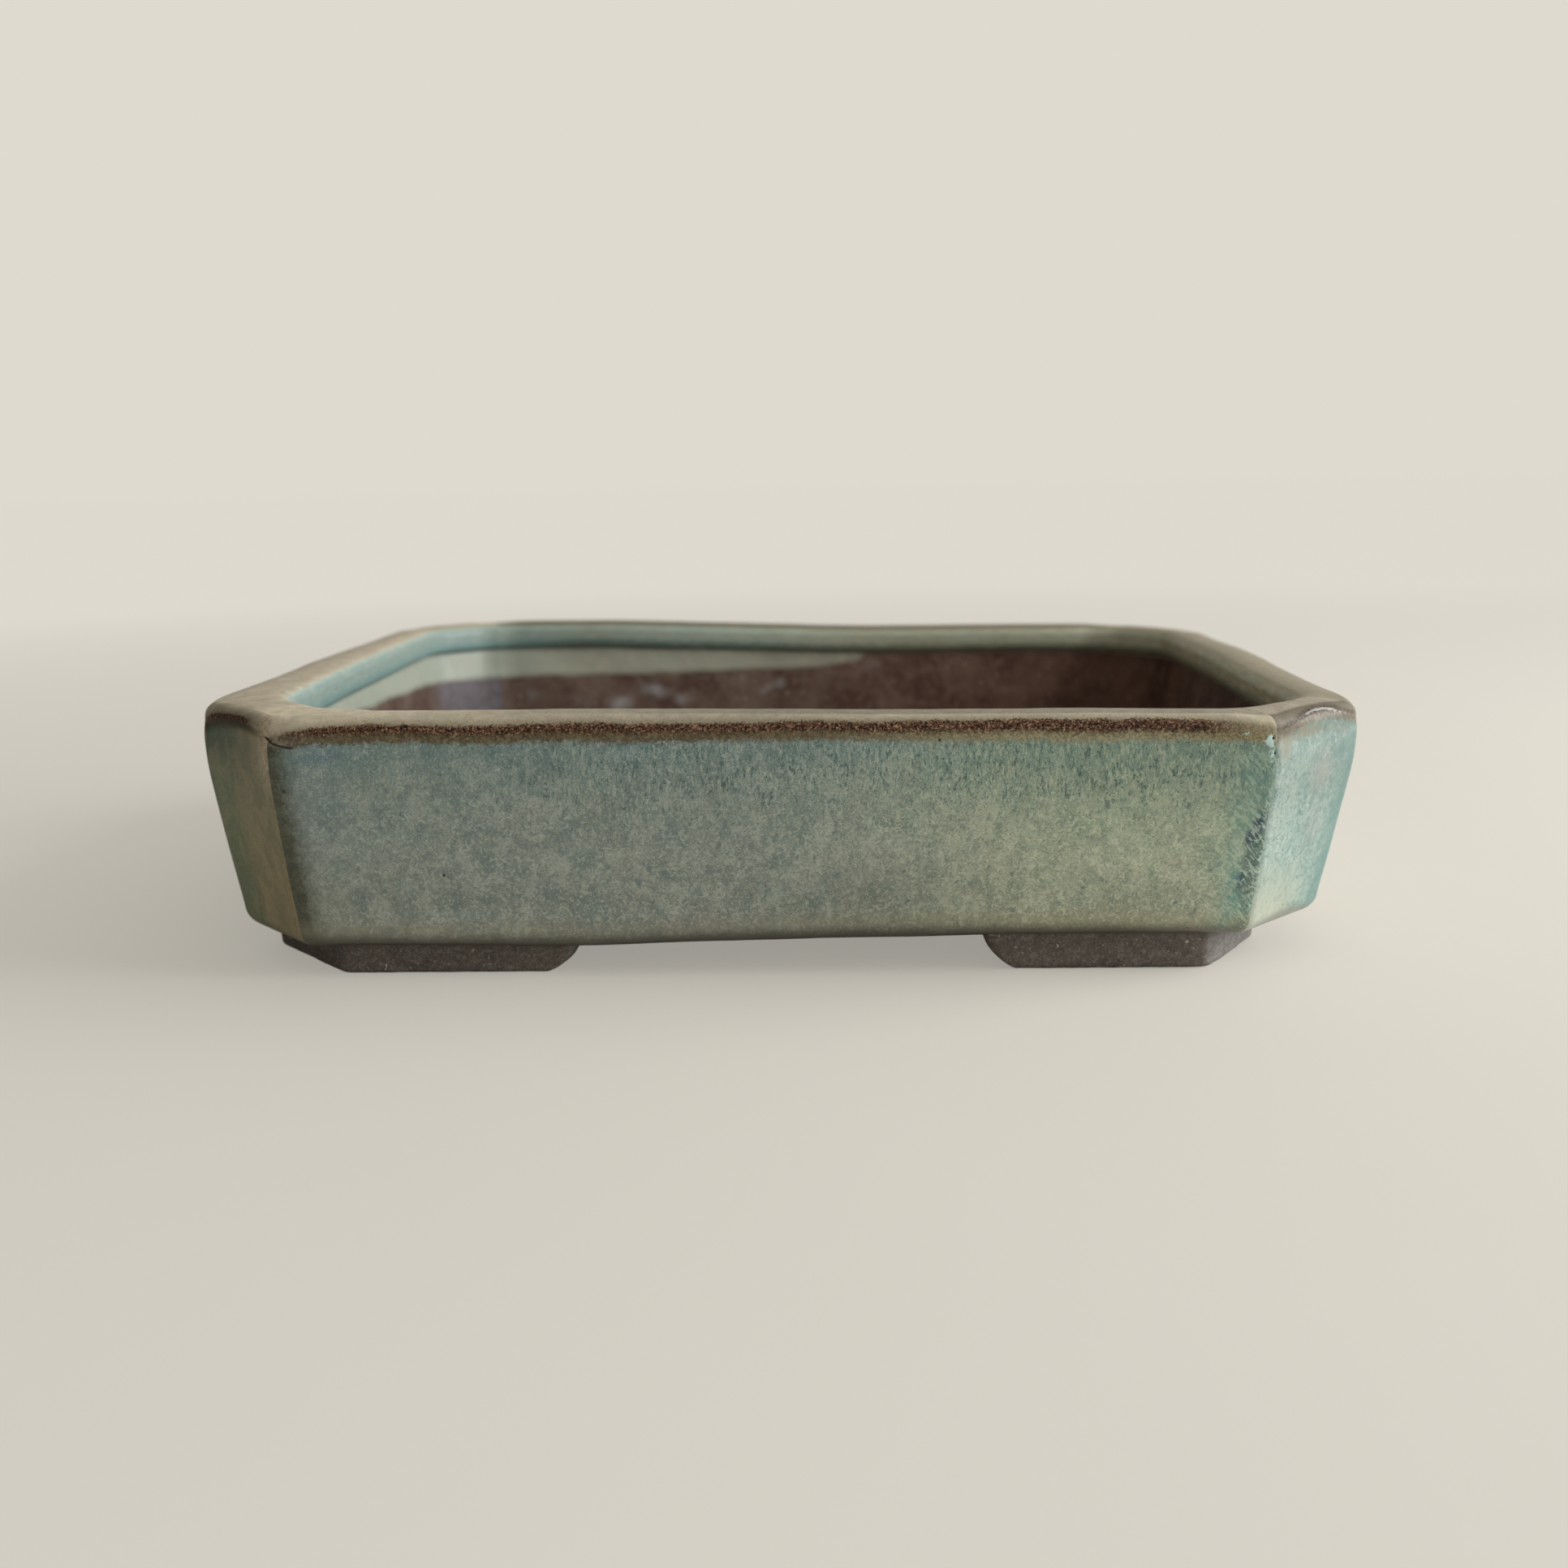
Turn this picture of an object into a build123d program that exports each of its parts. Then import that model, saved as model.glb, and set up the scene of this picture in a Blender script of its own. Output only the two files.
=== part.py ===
from build123d import *

from math import asin, atan2, cos, degrees, hypot, radians, sin, sqrt
import os

# Shallow rectangular bonsai pot with cut corners, slab-built in stoneware.
#
# Frame: origin at the centre of the foot plane, +X along the long side,
# +Y towards the back, +Z up.  Millimetres, real size.
#
# The pot is built the way a potter builds it: a floor slab with drain holes,
# eight wall slabs mitred at the arrises, a strip of lip laid on each wall, and
# four corner feet.  Two drain screens, each held by a bent-wire clip, sit over
# the drain holes and lift out upwards.
#
# Pieces are modelled at the front, left or front left, and mirrored from there.

# ------------------------------------------------------------------ dimensions
POT_LENGTH = 176.0        # over the lip, along X
POT_DEPTH = 140.0         # over the lip, along Y
POT_HEIGHT = 40.0         # foot plane to the top of the lip
CORNER_CUT = 16.0         # leg of the 45 degree corner cut, at the lip

LIP_HEIGHT = 4.0          # lip strip, outside: top to the joint with the wall
LIP_DROP = 1.7            # how much lower the joint is on the inside
LIP_WIDTH = 8.6           # lip strip, outside to inside
WALL_TOP_THICKNESS = 7.2  # wall slab just under the lip
WALL_LEAN = 3.65          # how far the outside leans in, lip to bottom edge
WALL_FOOT_INSET = 6.8     # where the rounded bottom edge meets the underside
FLOOR_INSET = 11.0        # lip outside to the edge of the floor slab
COVE_INSET = 13.2         # lip outside to the toe of the inner cove

FOOT_HEIGHT = 5.0         # underside of the floor above the foot plane
FLOOR_THICKNESS = 5.5

FOOT_INSET = 7.0          # lip outside to the outside of a foot
FOOT_WIDTH = 9.0          # width of the strip that a foot is made from
FOOT_CORNER_CUT = 15.4    # leg of the cut corner at a foot's outside
FOOT_LONG_END = 29.5      # |x| where a foot ends along the long side
FOOT_SHORT_END = 19.0     # |y| where a foot ends along the short side
FOOT_END_CURVE = 4.2      # how far the curved end undercuts
FOOT_END_MID_IN = 0.33    # curve's middle point, as a share of the undercut
FOOT_END_MID_UP = 0.30    # and as a share of the foot's height
FOOT_EDGE = 0.8           # worn lower edge of a foot
END_CUT_REACH = 2.0       # how far the end cutter runs past the foot's end
END_CUT_MARGIN = 1.0      # its overlap below the foot and on either side

DRAIN_X = 38.0            # drain holes lie on the long axis, at +/- this
DRAIN_RADIUS = 7.5
HOLE_EDGE = 0.9           # smoothed rim of a drain hole
TIE_X, TIE_Y = 50.0, 34.0  # tie-wire holes, at +/- these
TIE_RADIUS = 1.6

SCREEN_SIZE = 30.0        # square plastic mesh
SCREEN_CORNER = 1.2       # corner radius
SCREEN_THICKNESS = 1.0
SCREEN_PITCH = 3.0
SCREEN_OPENING = 2.2
SCREEN_COUNT = 9
SCREEN_GAP = 0.05         # resting clearance over the floor

WIRE_RADIUS = 0.75        # clip wire, 1.5 mm aluminium
CLIP_LEG_X = 6.0          # legs pass through mesh openings, inside the hole
CLIP_LEG_BOTTOM = 3.6     # legs reach just below the floor
CLIP_BEND = 1.3           # radius of the bend from leg to loop
CLIP_LOOP = 4.0           # radius of the flat loop that bears on the mesh
CLIP_GAP = 0.1            # clearance between wire and mesh

# --------------------------------------------------------------------- derived
HALF_LENGTH, HALF_DEPTH = POT_LENGTH / 2, POT_DEPTH / 2
WALL_TOP = POT_HEIGHT - LIP_HEIGHT
FLOOR_TOP = FOOT_HEIGHT + FLOOR_THICKNESS
SHRINK = 2 - sqrt(2)      # how fast a cut-corner leg shortens with inset
FLOOR_CUT = CORNER_CUT - SHRINK * FLOOR_INSET
SCREEN_Z = FLOOR_TOP + SCREEN_GAP

# -------------------------------------------------------------------- sections
# Points are (inset from the lip's outside, height).
# Wall: upright under the lip, leaning in below, with a rounded bottom edge
# and a cove on the floor.
WALL_OUTSIDE = [
    (0.0, WALL_TOP),
    (0.18, 31.0),
    (0.80, 26.0),
    (1.55, 21.0),
    (2.33, 16.0),
    (3.10, 11.5),
    (WALL_LEAN, 8.3),
]
WALL_EDGE_MID = (4.62, 6.02)
WALL_UNDERSIDE = (WALL_FOOT_INSET, FOOT_HEIGHT)
COVE_TOE = (COVE_INSET, FLOOR_TOP)
COVE_MID = (11.25, 11.55)
COVE_TOP = (10.3, 13.8)

# Lip: rounded outer and inner edges, slightly crowned top, and a deep inner
# face that overhangs the wall.  The joint slopes down towards the inside.
LIP_OUT_JOINT = (0, WALL_TOP)
LIP_OUT_LOW = (0.0, 37.8)
LIP_OUT_MID = (0.55, 39.15)
LIP_OUT_TOP = (1.9, 39.75)
LIP_CROWN = (4.4, POT_HEIGHT)
LIP_IN_TOP = (6.9, 39.75)
LIP_IN_MID = (8.1, 39.1)
LIP_IN_HIGH = (LIP_WIDTH, 38.0)
LIP_IN_LOW = (LIP_WIDTH, 35.5)
LIP_UNDER_MID = (8.2, 34.65)
LIP_IN_JOINT = (WALL_TOP_THICKNESS, WALL_TOP - LIP_DROP)


# ---------------------------------------------------------------------- facets
def facet_plane(point, inward):
    """Section plane across a facet: local x runs inward, local y runs up."""
    return Plane(origin=point, x_dir=inward, z_dir=inward.cross(Vector(0, 0, 1)))


def mitre_plane(x, y, normal_x, normal_y):
    """Upright mitre plane through an arris."""
    return Plane(origin=(x, y, 0), z_dir=Vector(normal_x, normal_y, 0))


PLANE_FRONT = facet_plane(Vector(0, -HALF_DEPTH, 0), Vector(0, 1, 0))
PLANE_LEFT = facet_plane(Vector(-HALF_LENGTH, 0, 0), Vector(1, 0, 0))
PLANE_CORNER = facet_plane(
    Vector(-HALF_LENGTH + CORNER_CUT / 2, -HALF_DEPTH + CORNER_CUT / 2, 0),
    Vector(sqrt(0.5), sqrt(0.5), 0),
)

# Mitres halve the 45 degree turn at each arris.  Their normals point away from
# the corner facet, so the straight facets lie on top and the corner below.
MITRE_COS, MITRE_SIN = cos(radians(22.5)), sin(radians(22.5))
ARRIS_X, ARRIS_Y = HALF_LENGTH - CORNER_CUT, HALF_DEPTH - CORNER_CUT
MITRE_FRONT_L = mitre_plane(-ARRIS_X, -HALF_DEPTH, MITRE_COS, -MITRE_SIN)
MITRE_FRONT_R = mitre_plane(ARRIS_X, -HALF_DEPTH, -MITRE_COS, -MITRE_SIN)
MITRE_LEFT_FRONT = mitre_plane(-HALF_LENGTH, -ARRIS_Y, -MITRE_SIN, MITRE_COS)
MITRE_LEFT_BACK = mitre_plane(-HALF_LENGTH, ARRIS_Y, -MITRE_SIN, -MITRE_COS)

# Facets that are modelled: section plane, extrusion each way, mitres, side kept.
FRONT_FACET = (PLANE_FRONT, HALF_LENGTH, (MITRE_FRONT_L, MITRE_FRONT_R), Keep.TOP)
LEFT_FACET = (PLANE_LEFT, HALF_DEPTH, (MITRE_LEFT_FRONT, MITRE_LEFT_BACK), Keep.TOP)
CORNER_FACET = (PLANE_CORNER, CORNER_CUT, (MITRE_FRONT_L, MITRE_LEFT_FRONT), Keep.BOTTOM)


# ------------------------------------------------------------------- mirroring
def mirrored(part, plane):
    with BuildPart() as copy:
        mirror(part, about=plane)
    return copy.part


def left_and_right(left, name):
    """Named pair: a left piece and its mirror image."""
    return {f"left_{name}": left, f"right_{name}": mirrored(left, Plane.YZ)}


def at_four_corners(front_left, name):
    """Named set: a front left piece and its three mirror images."""
    front_right = mirrored(front_left, Plane.YZ)
    return {
        f"front_left_{name}": front_left,
        f"front_right_{name}": front_right,
        f"back_left_{name}": mirrored(front_left, Plane.XZ),
        f"back_right_{name}": mirrored(front_right, Plane.XZ),
    }


# ------------------------------------------------------------------ floor slab
def build_floor():
    with BuildPart() as floor:
        with BuildSketch(Plane.XY.offset(FOOT_HEIGHT)):
            Rectangle(POT_LENGTH - 2 * FLOOR_INSET, POT_DEPTH - 2 * FLOOR_INSET)
        extrude(amount=FLOOR_THICKNESS)
        chamfer(floor.edges().filter_by(Axis.Z), length=FLOOR_CUT)
        with Locations((-DRAIN_X, 0, FLOOR_TOP), (DRAIN_X, 0, FLOOR_TOP)):
            Hole(DRAIN_RADIUS)
        with Locations((0, 0, FLOOR_TOP)):
            with GridLocations(2 * TIE_X, 2 * TIE_Y, 2, 2):
                Hole(TIE_RADIUS)
        # the rims of the drain holes are smoothed by hand
        fillet(
            floor.edges()
            .filter_by(GeomType.CIRCLE)
            .filter_by(lambda e: abs(e.radius - DRAIN_RADIUS) < 0.01),
            radius=HOLE_EDGE,
        )
    return floor.part


# -------------------------------------------------------- wall slabs and lips
def build_wall(section_plane, reach, mitres, side):
    with BuildPart() as wall:
        with BuildSketch(section_plane):
            with BuildLine():
                Spline(*WALL_OUTSIDE)
                ThreePointArc(WALL_OUTSIDE[-1], WALL_EDGE_MID, WALL_UNDERSIDE)
                Polyline(
                    WALL_UNDERSIDE,
                    (FLOOR_INSET, FOOT_HEIGHT),
                    (FLOOR_INSET, FLOOR_TOP),
                    COVE_TOE,
                )
                ThreePointArc(COVE_TOE, COVE_MID, COVE_TOP)
                Polyline(COVE_TOP, LIP_IN_JOINT, LIP_OUT_JOINT)
            make_face()
        extrude(amount=reach, both=True)
        for mitre in mitres:
            split(bisect_by=mitre, keep=side)
    return wall.part


def build_lip(section_plane, reach, mitres, side):
    with BuildPart() as lip:
        with BuildSketch(section_plane):
            with BuildLine():
                Line(LIP_OUT_JOINT, LIP_OUT_LOW)
                ThreePointArc(LIP_OUT_LOW, LIP_OUT_MID, LIP_OUT_TOP)
                ThreePointArc(LIP_OUT_TOP, LIP_CROWN, LIP_IN_TOP)
                ThreePointArc(LIP_IN_TOP, LIP_IN_MID, LIP_IN_HIGH)
                Line(LIP_IN_HIGH, LIP_IN_LOW)
                ThreePointArc(LIP_IN_LOW, LIP_UNDER_MID, LIP_IN_JOINT)
                Line(LIP_IN_JOINT, LIP_OUT_JOINT)
            make_face()
        extrude(amount=reach, both=True)
        for mitre in mitres:
            split(bisect_by=mitre, keep=side)
    return lip.part


def ring_of_facets(build_facet, name):
    """All eight facets of the wall or of the lip, by name."""
    front = build_facet(*FRONT_FACET)
    return {
        f"front_{name}": front,
        f"back_{name}": mirrored(front, Plane.XZ),
        **left_and_right(build_facet(*LEFT_FACET), name),
        **at_four_corners(build_facet(*CORNER_FACET), f"corner_{name}"),
    }


# ----------------------------------------------------------------- corner feet
# Outer and inner sides of a foot's plan, as |x| and |y|.
FOOT_OUTER_X, FOOT_OUTER_Y = HALF_LENGTH - FOOT_INSET, HALF_DEPTH - FOOT_INSET
FOOT_INNER_X, FOOT_INNER_Y = FOOT_OUTER_X - FOOT_WIDTH, FOOT_OUTER_Y - FOOT_WIDTH
FOOT_INNER_CUT = FOOT_CORNER_CUT - SHRINK * FOOT_WIDTH

# End cutters of the front left foot: sketch plane beside the arm, arm's end.
# Each is extruded across its arm, towards -Y for the long one and +X for the short.
FOOT_END_CUTS = (
    (Plane.XZ.offset(FOOT_INNER_Y - END_CUT_MARGIN), -FOOT_LONG_END),
    (Plane.YZ.offset(-FOOT_OUTER_X - END_CUT_MARGIN), -FOOT_SHORT_END),
)


def build_foot():
    """Front left foot: an L-shaped strip with a cut corner and curved ends."""
    with BuildPart() as foot:
        with BuildSketch(Plane.XY):
            with BuildLine():
                Polyline(
                    (-FOOT_LONG_END, -FOOT_OUTER_Y),
                    (-FOOT_OUTER_X + FOOT_CORNER_CUT, -FOOT_OUTER_Y),
                    (-FOOT_OUTER_X, -FOOT_OUTER_Y + FOOT_CORNER_CUT),
                    (-FOOT_OUTER_X, -FOOT_SHORT_END),
                    (-FOOT_INNER_X, -FOOT_SHORT_END),
                    (-FOOT_INNER_X, -FOOT_INNER_Y + FOOT_INNER_CUT),
                    (-FOOT_INNER_X + FOOT_INNER_CUT, -FOOT_INNER_Y),
                    (-FOOT_LONG_END, -FOOT_INNER_Y),
                    close=True,
                )
            make_face()
        extrude(amount=FOOT_HEIGHT)
        # worn lower edges, all round the strip
        chamfer(foot.faces().sort_by(Axis.Z)[0].edges(), length=FOOT_EDGE)
        for cut_plane, end in FOOT_END_CUTS:
            curve_top = (end, FOOT_HEIGHT)
            curve_mid = (
                end - FOOT_END_MID_IN * FOOT_END_CURVE,
                FOOT_END_MID_UP * FOOT_HEIGHT,
            )
            curve_foot = (end - FOOT_END_CURVE, 0)
            with BuildSketch(cut_plane):
                with BuildLine():
                    Polyline(
                        curve_top,
                        (end + END_CUT_REACH, FOOT_HEIGHT),
                        (end + END_CUT_REACH, -END_CUT_MARGIN),
                        (end - FOOT_END_CURVE, -END_CUT_MARGIN),
                        curve_foot,
                    )
                    ThreePointArc(curve_foot, curve_mid, curve_top)
                make_face()
            extrude(amount=FOOT_WIDTH + 2 * END_CUT_MARGIN, mode=Mode.SUBTRACT)
    return foot.part


# --------------------------------------------------------------- drain screens
def build_screen():
    """Left drain screen."""
    with BuildPart() as screen:
        with BuildSketch(Plane(origin=(-DRAIN_X, 0, SCREEN_Z))):
            RectangleRounded(SCREEN_SIZE, SCREEN_SIZE, SCREEN_CORNER)
            with GridLocations(SCREEN_PITCH, SCREEN_PITCH, SCREEN_COUNT, SCREEN_COUNT):
                Rectangle(SCREEN_OPENING, SCREEN_OPENING, mode=Mode.SUBTRACT)
        extrude(amount=SCREEN_THICKNESS)
    return screen.part


# ------------------------------------------------------------ bent-wire clips
# One wire: up a leg, a quarter bend, round a flat loop, straight across the
# mesh, round the other loop, a quarter bend and down the other leg.
CLIP_Z = SCREEN_Z + SCREEN_THICKNESS + CLIP_GAP + WIRE_RADIUS
BEND_Z = CLIP_Z - CLIP_BEND
LOOP_X = CLIP_LEG_X + CLIP_LOOP      # loop centre from the clip's middle
LOOP_Y = CLIP_BEND
# The straight bar is the inner common tangent of the two loops.
LOOP_TILT = degrees(atan2(LOOP_Y, LOOP_X))
BAR_TILT = LOOP_TILT - degrees(asin(CLIP_LOOP / hypot(LOOP_X, LOOP_Y)))
BAR_HALF = sqrt(LOOP_X**2 + LOOP_Y**2 - CLIP_LOOP**2)
BAR_DIR = Vector(cos(radians(BAR_TILT)), sin(radians(BAR_TILT)), 0)
LOOP_TURN = 270 - BAR_TILT


def build_clip():
    """Left screen clip."""
    with BuildPart() as clip:
        # each half turned 180 degrees from the other: -1 is left, +1 is right
        for side in (-1, 1):
            leg_x = -DRAIN_X + side * CLIP_LEG_X
            loop_x = -DRAIN_X + side * LOOP_X
            # leg
            with BuildSketch(Plane(origin=(leg_x, 0, CLIP_LEG_BOTTOM))):
                Circle(WIRE_RADIUS)
            extrude(amount=BEND_Z - CLIP_LEG_BOTTOM)
            # quarter bend
            with BuildSketch(Plane(origin=(leg_x, 0, BEND_Z))):
                Circle(WIRE_RADIUS)
            revolve(
                axis=Axis((leg_x, side * CLIP_BEND, BEND_Z), (-side, 0, 0)),
                revolution_arc=90,
            )
            # flat loop
            with BuildSketch(
                Plane(origin=(leg_x, side * LOOP_Y, CLIP_Z), z_dir=(0, side, 0))
            ):
                Circle(WIRE_RADIUS)
            revolve(
                axis=Axis((loop_x, side * LOOP_Y, CLIP_Z), (0, 0, -1)),
                revolution_arc=LOOP_TURN,
            )
        # the bar between the loops
        with BuildSketch(Plane(origin=(-DRAIN_X, 0, CLIP_Z), z_dir=BAR_DIR)):
            Circle(WIRE_RADIUS)
        extrude(amount=BAR_HALF, both=True)
    return clip.part


# --------------------------------------------------------------------- exports
pieces = {
    "floor_slab": build_floor(),
    **ring_of_facets(build_wall, "wall"),
    **ring_of_facets(build_lip, "lip"),
    **at_four_corners(build_foot(), "foot"),
    **left_and_right(build_screen(), "drain_screen"),
    **left_and_right(build_clip(), "screen_clip"),
}

os.makedirs("parts", exist_ok=True)
for name, part in pieces.items():
    part.label = name
    export_step(part, f"parts/{name}.step")
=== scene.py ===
# A handmade glazed stoneware pot: a long tray with cut corners, a rounded lip, a bare clay
# floor and four L-shaped feet. Each of its two drain holes has a net and a bent wire clip.
# The origin is at the centre of the foot plane: +X runs along the long side to the right,
# +Y to the back and +Z up. Sizes are in millimetres; make_piece() turns them into metres.
import math
from itertools import product
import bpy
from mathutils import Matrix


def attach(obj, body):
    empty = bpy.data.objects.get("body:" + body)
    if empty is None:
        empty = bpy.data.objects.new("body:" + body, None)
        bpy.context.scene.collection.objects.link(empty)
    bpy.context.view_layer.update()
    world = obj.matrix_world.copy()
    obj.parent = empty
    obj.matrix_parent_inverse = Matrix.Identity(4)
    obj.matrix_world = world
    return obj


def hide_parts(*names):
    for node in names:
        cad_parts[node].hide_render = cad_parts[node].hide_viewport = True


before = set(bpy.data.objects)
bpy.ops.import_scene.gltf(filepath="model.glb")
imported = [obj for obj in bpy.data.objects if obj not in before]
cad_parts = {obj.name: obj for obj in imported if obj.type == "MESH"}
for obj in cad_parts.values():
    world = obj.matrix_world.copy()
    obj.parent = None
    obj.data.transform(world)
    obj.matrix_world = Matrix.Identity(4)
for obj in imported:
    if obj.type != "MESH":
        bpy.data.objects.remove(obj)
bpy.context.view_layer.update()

from types import SimpleNamespace

import bpy
import numpy as np
from mathutils import Matrix, Vector
from mathutils.geometry import delaunay_2d_cdt

# ======================================================================= sizes
HALF_X, HALF_Y, CUT = 88.0, 70.0, 16.0              # outer octagon at the lip
TAN_MITRE = math.tan(math.radians(22.5))
TOP, UNDER, FLOOR_TOP = 40.0, 5.0, 10.5             # heights above the foot plane
FLOOR_INSET, COVE_INSET = 11.0, 13.2
DRAIN_X, DRAIN_RADIUS, DRAIN_EDGE = 38.0, 7.5, 0.9
TIE_X, TIE_Y, TIE_RADIUS, TIE_EDGE = 50.0, 34.0, 1.6, 0.35
ARRIS_RADIUS = 2.7                                  # plan radius of the outer arrises
SIDES = [
    "front", "front_right_corner", "right", "back_right_corner",
    "back", "back_left_corner", "left", "front_left_corner",
]
CUT_LENGTH = round(CUT * math.sqrt(2), 4)
SIDE_LENGTHS = np.array([2 * (HALF_X - CUT), CUT_LENGTH, 2 * (HALF_Y - CUT), CUT_LENGTH] * 2)

# ====================================================================== curves
RNG = np.random.default_rng(20461)
PERMUTATION = np.tile(RNG.permutation(256), 2)
GRADIENTS = RNG.normal(size=(256, 3))
GRADIENTS /= np.linalg.norm(GRADIENTS, axis=1)[:, None]
CUBE_CORNERS = list(product((0, 1), repeat=3))


def noise3(points, scale, seed=0.0):
    """Smooth noise, about -1 to 1, with features about `scale` millimetres."""
    place = points.reshape(-1, 3) / scale + np.array([17.31, 5.77, 11.9]) * (seed + 1.0)
    cell = np.floor(place).astype(np.int64)
    inside = place - cell
    ease = inside ** 3 * (inside * (inside * 6 - 15) + 10)
    total = np.zeros(len(place))
    for corner in CUBE_CORNERS:
        x, y, z = ((cell + corner) & 255).T
        slope = GRADIENTS[PERMUTATION[PERMUTATION[PERMUTATION[x] + y] + z]]
        weight = np.where(corner, ease, 1 - ease).prod(-1)
        total += ((inside - corner) * slope).sum(-1) * weight
    return (total * 1.7).reshape(points.shape[:-1])


def rise(x, low, high):
    """Smooth step from 0 at `low` to 1 at `high`."""
    share = np.clip((np.asarray(x, float) - low) / (high - low), 0, 1)
    return share * share * (3 - 2 * share)


def fall(x, low, high):
    return 1 - rise(x, low, high)


def bell(x, centre, width, power=2):
    return np.exp(-np.abs((np.asarray(x, float) - centre) / width) ** power)


def angle_of(vector):
    return math.atan2(vector[1], vector[0])


def unit(vector):
    return vector / np.linalg.norm(vector)


def arc(start, middle, end, count):
    """`count` points on the arc from start through middle to end."""
    start, middle, end = (np.array(point, float) for point in (start, middle, end))
    chords = np.array([2 * (middle - start), 2 * (end - start)])
    squares = [middle @ middle - start @ start, end @ end - start @ start]
    centre = np.linalg.solve(chords, np.array(squares))
    radius = np.hypot(*(start - centre))
    angles = np.unwrap([angle_of(point - centre) for point in (start, middle, end)])
    return [tuple(centre + radius * np.array([math.cos(angle), math.sin(angle)]))
            for angle in np.linspace(angles[0], angles[2], count)]


def natural_spline(knots, values, wanted):
    """Natural cubic spline through the knots, read at the wanted places."""
    count = len(knots)
    gap = np.diff(knots)
    system, target = np.eye(count), np.zeros(count)
    for i in range(1, count - 1):
        system[i, i - 1:i + 2] = gap[i - 1], 2 * (gap[i - 1] + gap[i]), gap[i]
        target[i] = 6 * ((values[i + 1] - values[i]) / gap[i]
                         - (values[i] - values[i - 1]) / gap[i - 1])
    bend = np.linalg.solve(system, target)
    k = np.clip(np.searchsorted(knots, wanted) - 1, 0, count - 2)
    step = wanted - knots[k]
    slope = (values[k + 1] - values[k]) / gap[k] - gap[k] * (2 * bend[k] + bend[k + 1]) / 6
    return (values[k] + step * slope + step * step * bend[k] / 2
            + step ** 3 * (bend[k + 1] - bend[k]) / (6 * gap[k]))


# ================================================================ handmade lean
# The eight outer corners stand a little off the true drawing.
# Offsets (dx, dy, dz) at [x side][y side][low, high].
CORNER_OFFSETS = np.array([
    [[(-.26, -.65, -1.46), (-.45, -.30, .40)], [(.96, .35, -.15), (.51, .31, 1.18)]],
    [[(.02, .27, 1.31), (.32, -.21, -.19)], [(-.96, .20, -.31), (-.15, .03, -.77)]],
])
# The foot plane is taken as level, which tips the body by TILT radians.
TILT = 0.0085
LIFT = 0.33
CORNER_OFFSETS[..., 0] += TILT * np.array([UNDER, TOP])
CORNER_OFFSETS[..., 2] += LIFT - TILT * np.array([-HALF_X, HALF_X])[:, None, None]


def lean(points):
    """Handmade offsets: the corner offsets, and sags and swells of single edges."""
    x, y, z = points[..., 0], points[..., 1], points[..., 2]
    share = np.stack([(x + HALF_X) / (2 * HALF_X), (y + HALF_Y) / (2 * HALF_Y),
                      (z - UNDER) / (TOP - UNDER)], -1).clip(0, 1)
    offset = sum(np.where(corner, share, 1 - share).prod(-1)[..., None] * CORNER_OFFSETS[corner]
                 for corner in CUBE_CORNERS)
    high = rise(z, 20, 38)
    offset[..., 2] += rise(y, 40, 60) * high * (0.45 * bell(x, -46, 18) - 0.55 * bell(x, 14, 26))
    offset[..., 2] += rise(x, 66, 80) * high * 0.5 * bell(y, 12, 26)
    offset[..., 2] += rise(-y, 48, 60) * fall(z, 7, 18) * (
        -0.45 * bell(x, -30, 16) + 0.25 * bell(x, 40, 18))
    return offset


# ===================================================================== section
# Zones of the section, in the order it runs: from the underside, round the outside,
# over the lip and down the inside.
UNDERSIDE, WALL, LIP_OUT, LIP_TOP, LIP_IN, INNER, COVE = range(7)
# outer wall: height, inset
WALL_PROFILE = np.array([
    (8.3, 3.65), (11.5, 3.10), (16.0, 2.33), (21.0, 1.55), (26.0, 0.80), (31.0, 0.18), (36.0, 0.0)])
INNER_EDGE = (6.9, 39.75)                 # inner top edge of the lip: inset, height


def section_rows():
    """Points (inset, height) along the section, and their zones."""
    wall_z = np.linspace(8.3, 36.0, 62)
    wall_inset = natural_spline(*WALL_PROFILE.T, wall_z)
    runs = [
        (UNDERSIDE, [(inset, UNDER) for inset in np.linspace(FLOOR_INSET, 6.8, 7)]),
        (WALL, arc((6.8, UNDER), (4.62, 6.02), (3.65, 8.3), 12)),
        (WALL, zip(wall_inset, wall_z)),
        (LIP_OUT, [(0.0, z) for z in np.linspace(36.0, 37.8, 6)]),
        (LIP_OUT, arc((0, 37.8), (0.55, 39.15), (1.9, 39.75), 10)),
        (LIP_TOP, arc((1.9, 39.75), (4.4, TOP), INNER_EDGE, 13)),
        (LIP_IN, arc(INNER_EDGE, (8.1, 39.1), (8.6, 38.0), 8)),
        (LIP_IN, [(8.6, z) for z in (37.5, 37.0, 36.5, 36.0, 35.5)]),
        (LIP_IN, arc((8.6, 35.5), (8.2, 34.65), (7.2, 34.3), 7)),
        (INNER, zip(np.linspace(7.2, 10.3, 39), np.linspace(34.3, 13.8, 39))),
        (COVE, arc((10.3, 13.8), (11.25, 11.55), (COVE_INSET, FLOOR_TOP), 12)),
    ]
    rows = []
    for kind, points in runs:
        for inset, height in points:
            # neighbouring runs share their end point
            if rows and abs(rows[-1][0] - inset) + abs(rows[-1][1] - height) < 1e-6:
                continue
            rows.append((inset, height, kind))
    rows = np.array(rows)
    return rows[:, :2], rows[:, 2:]


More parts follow.
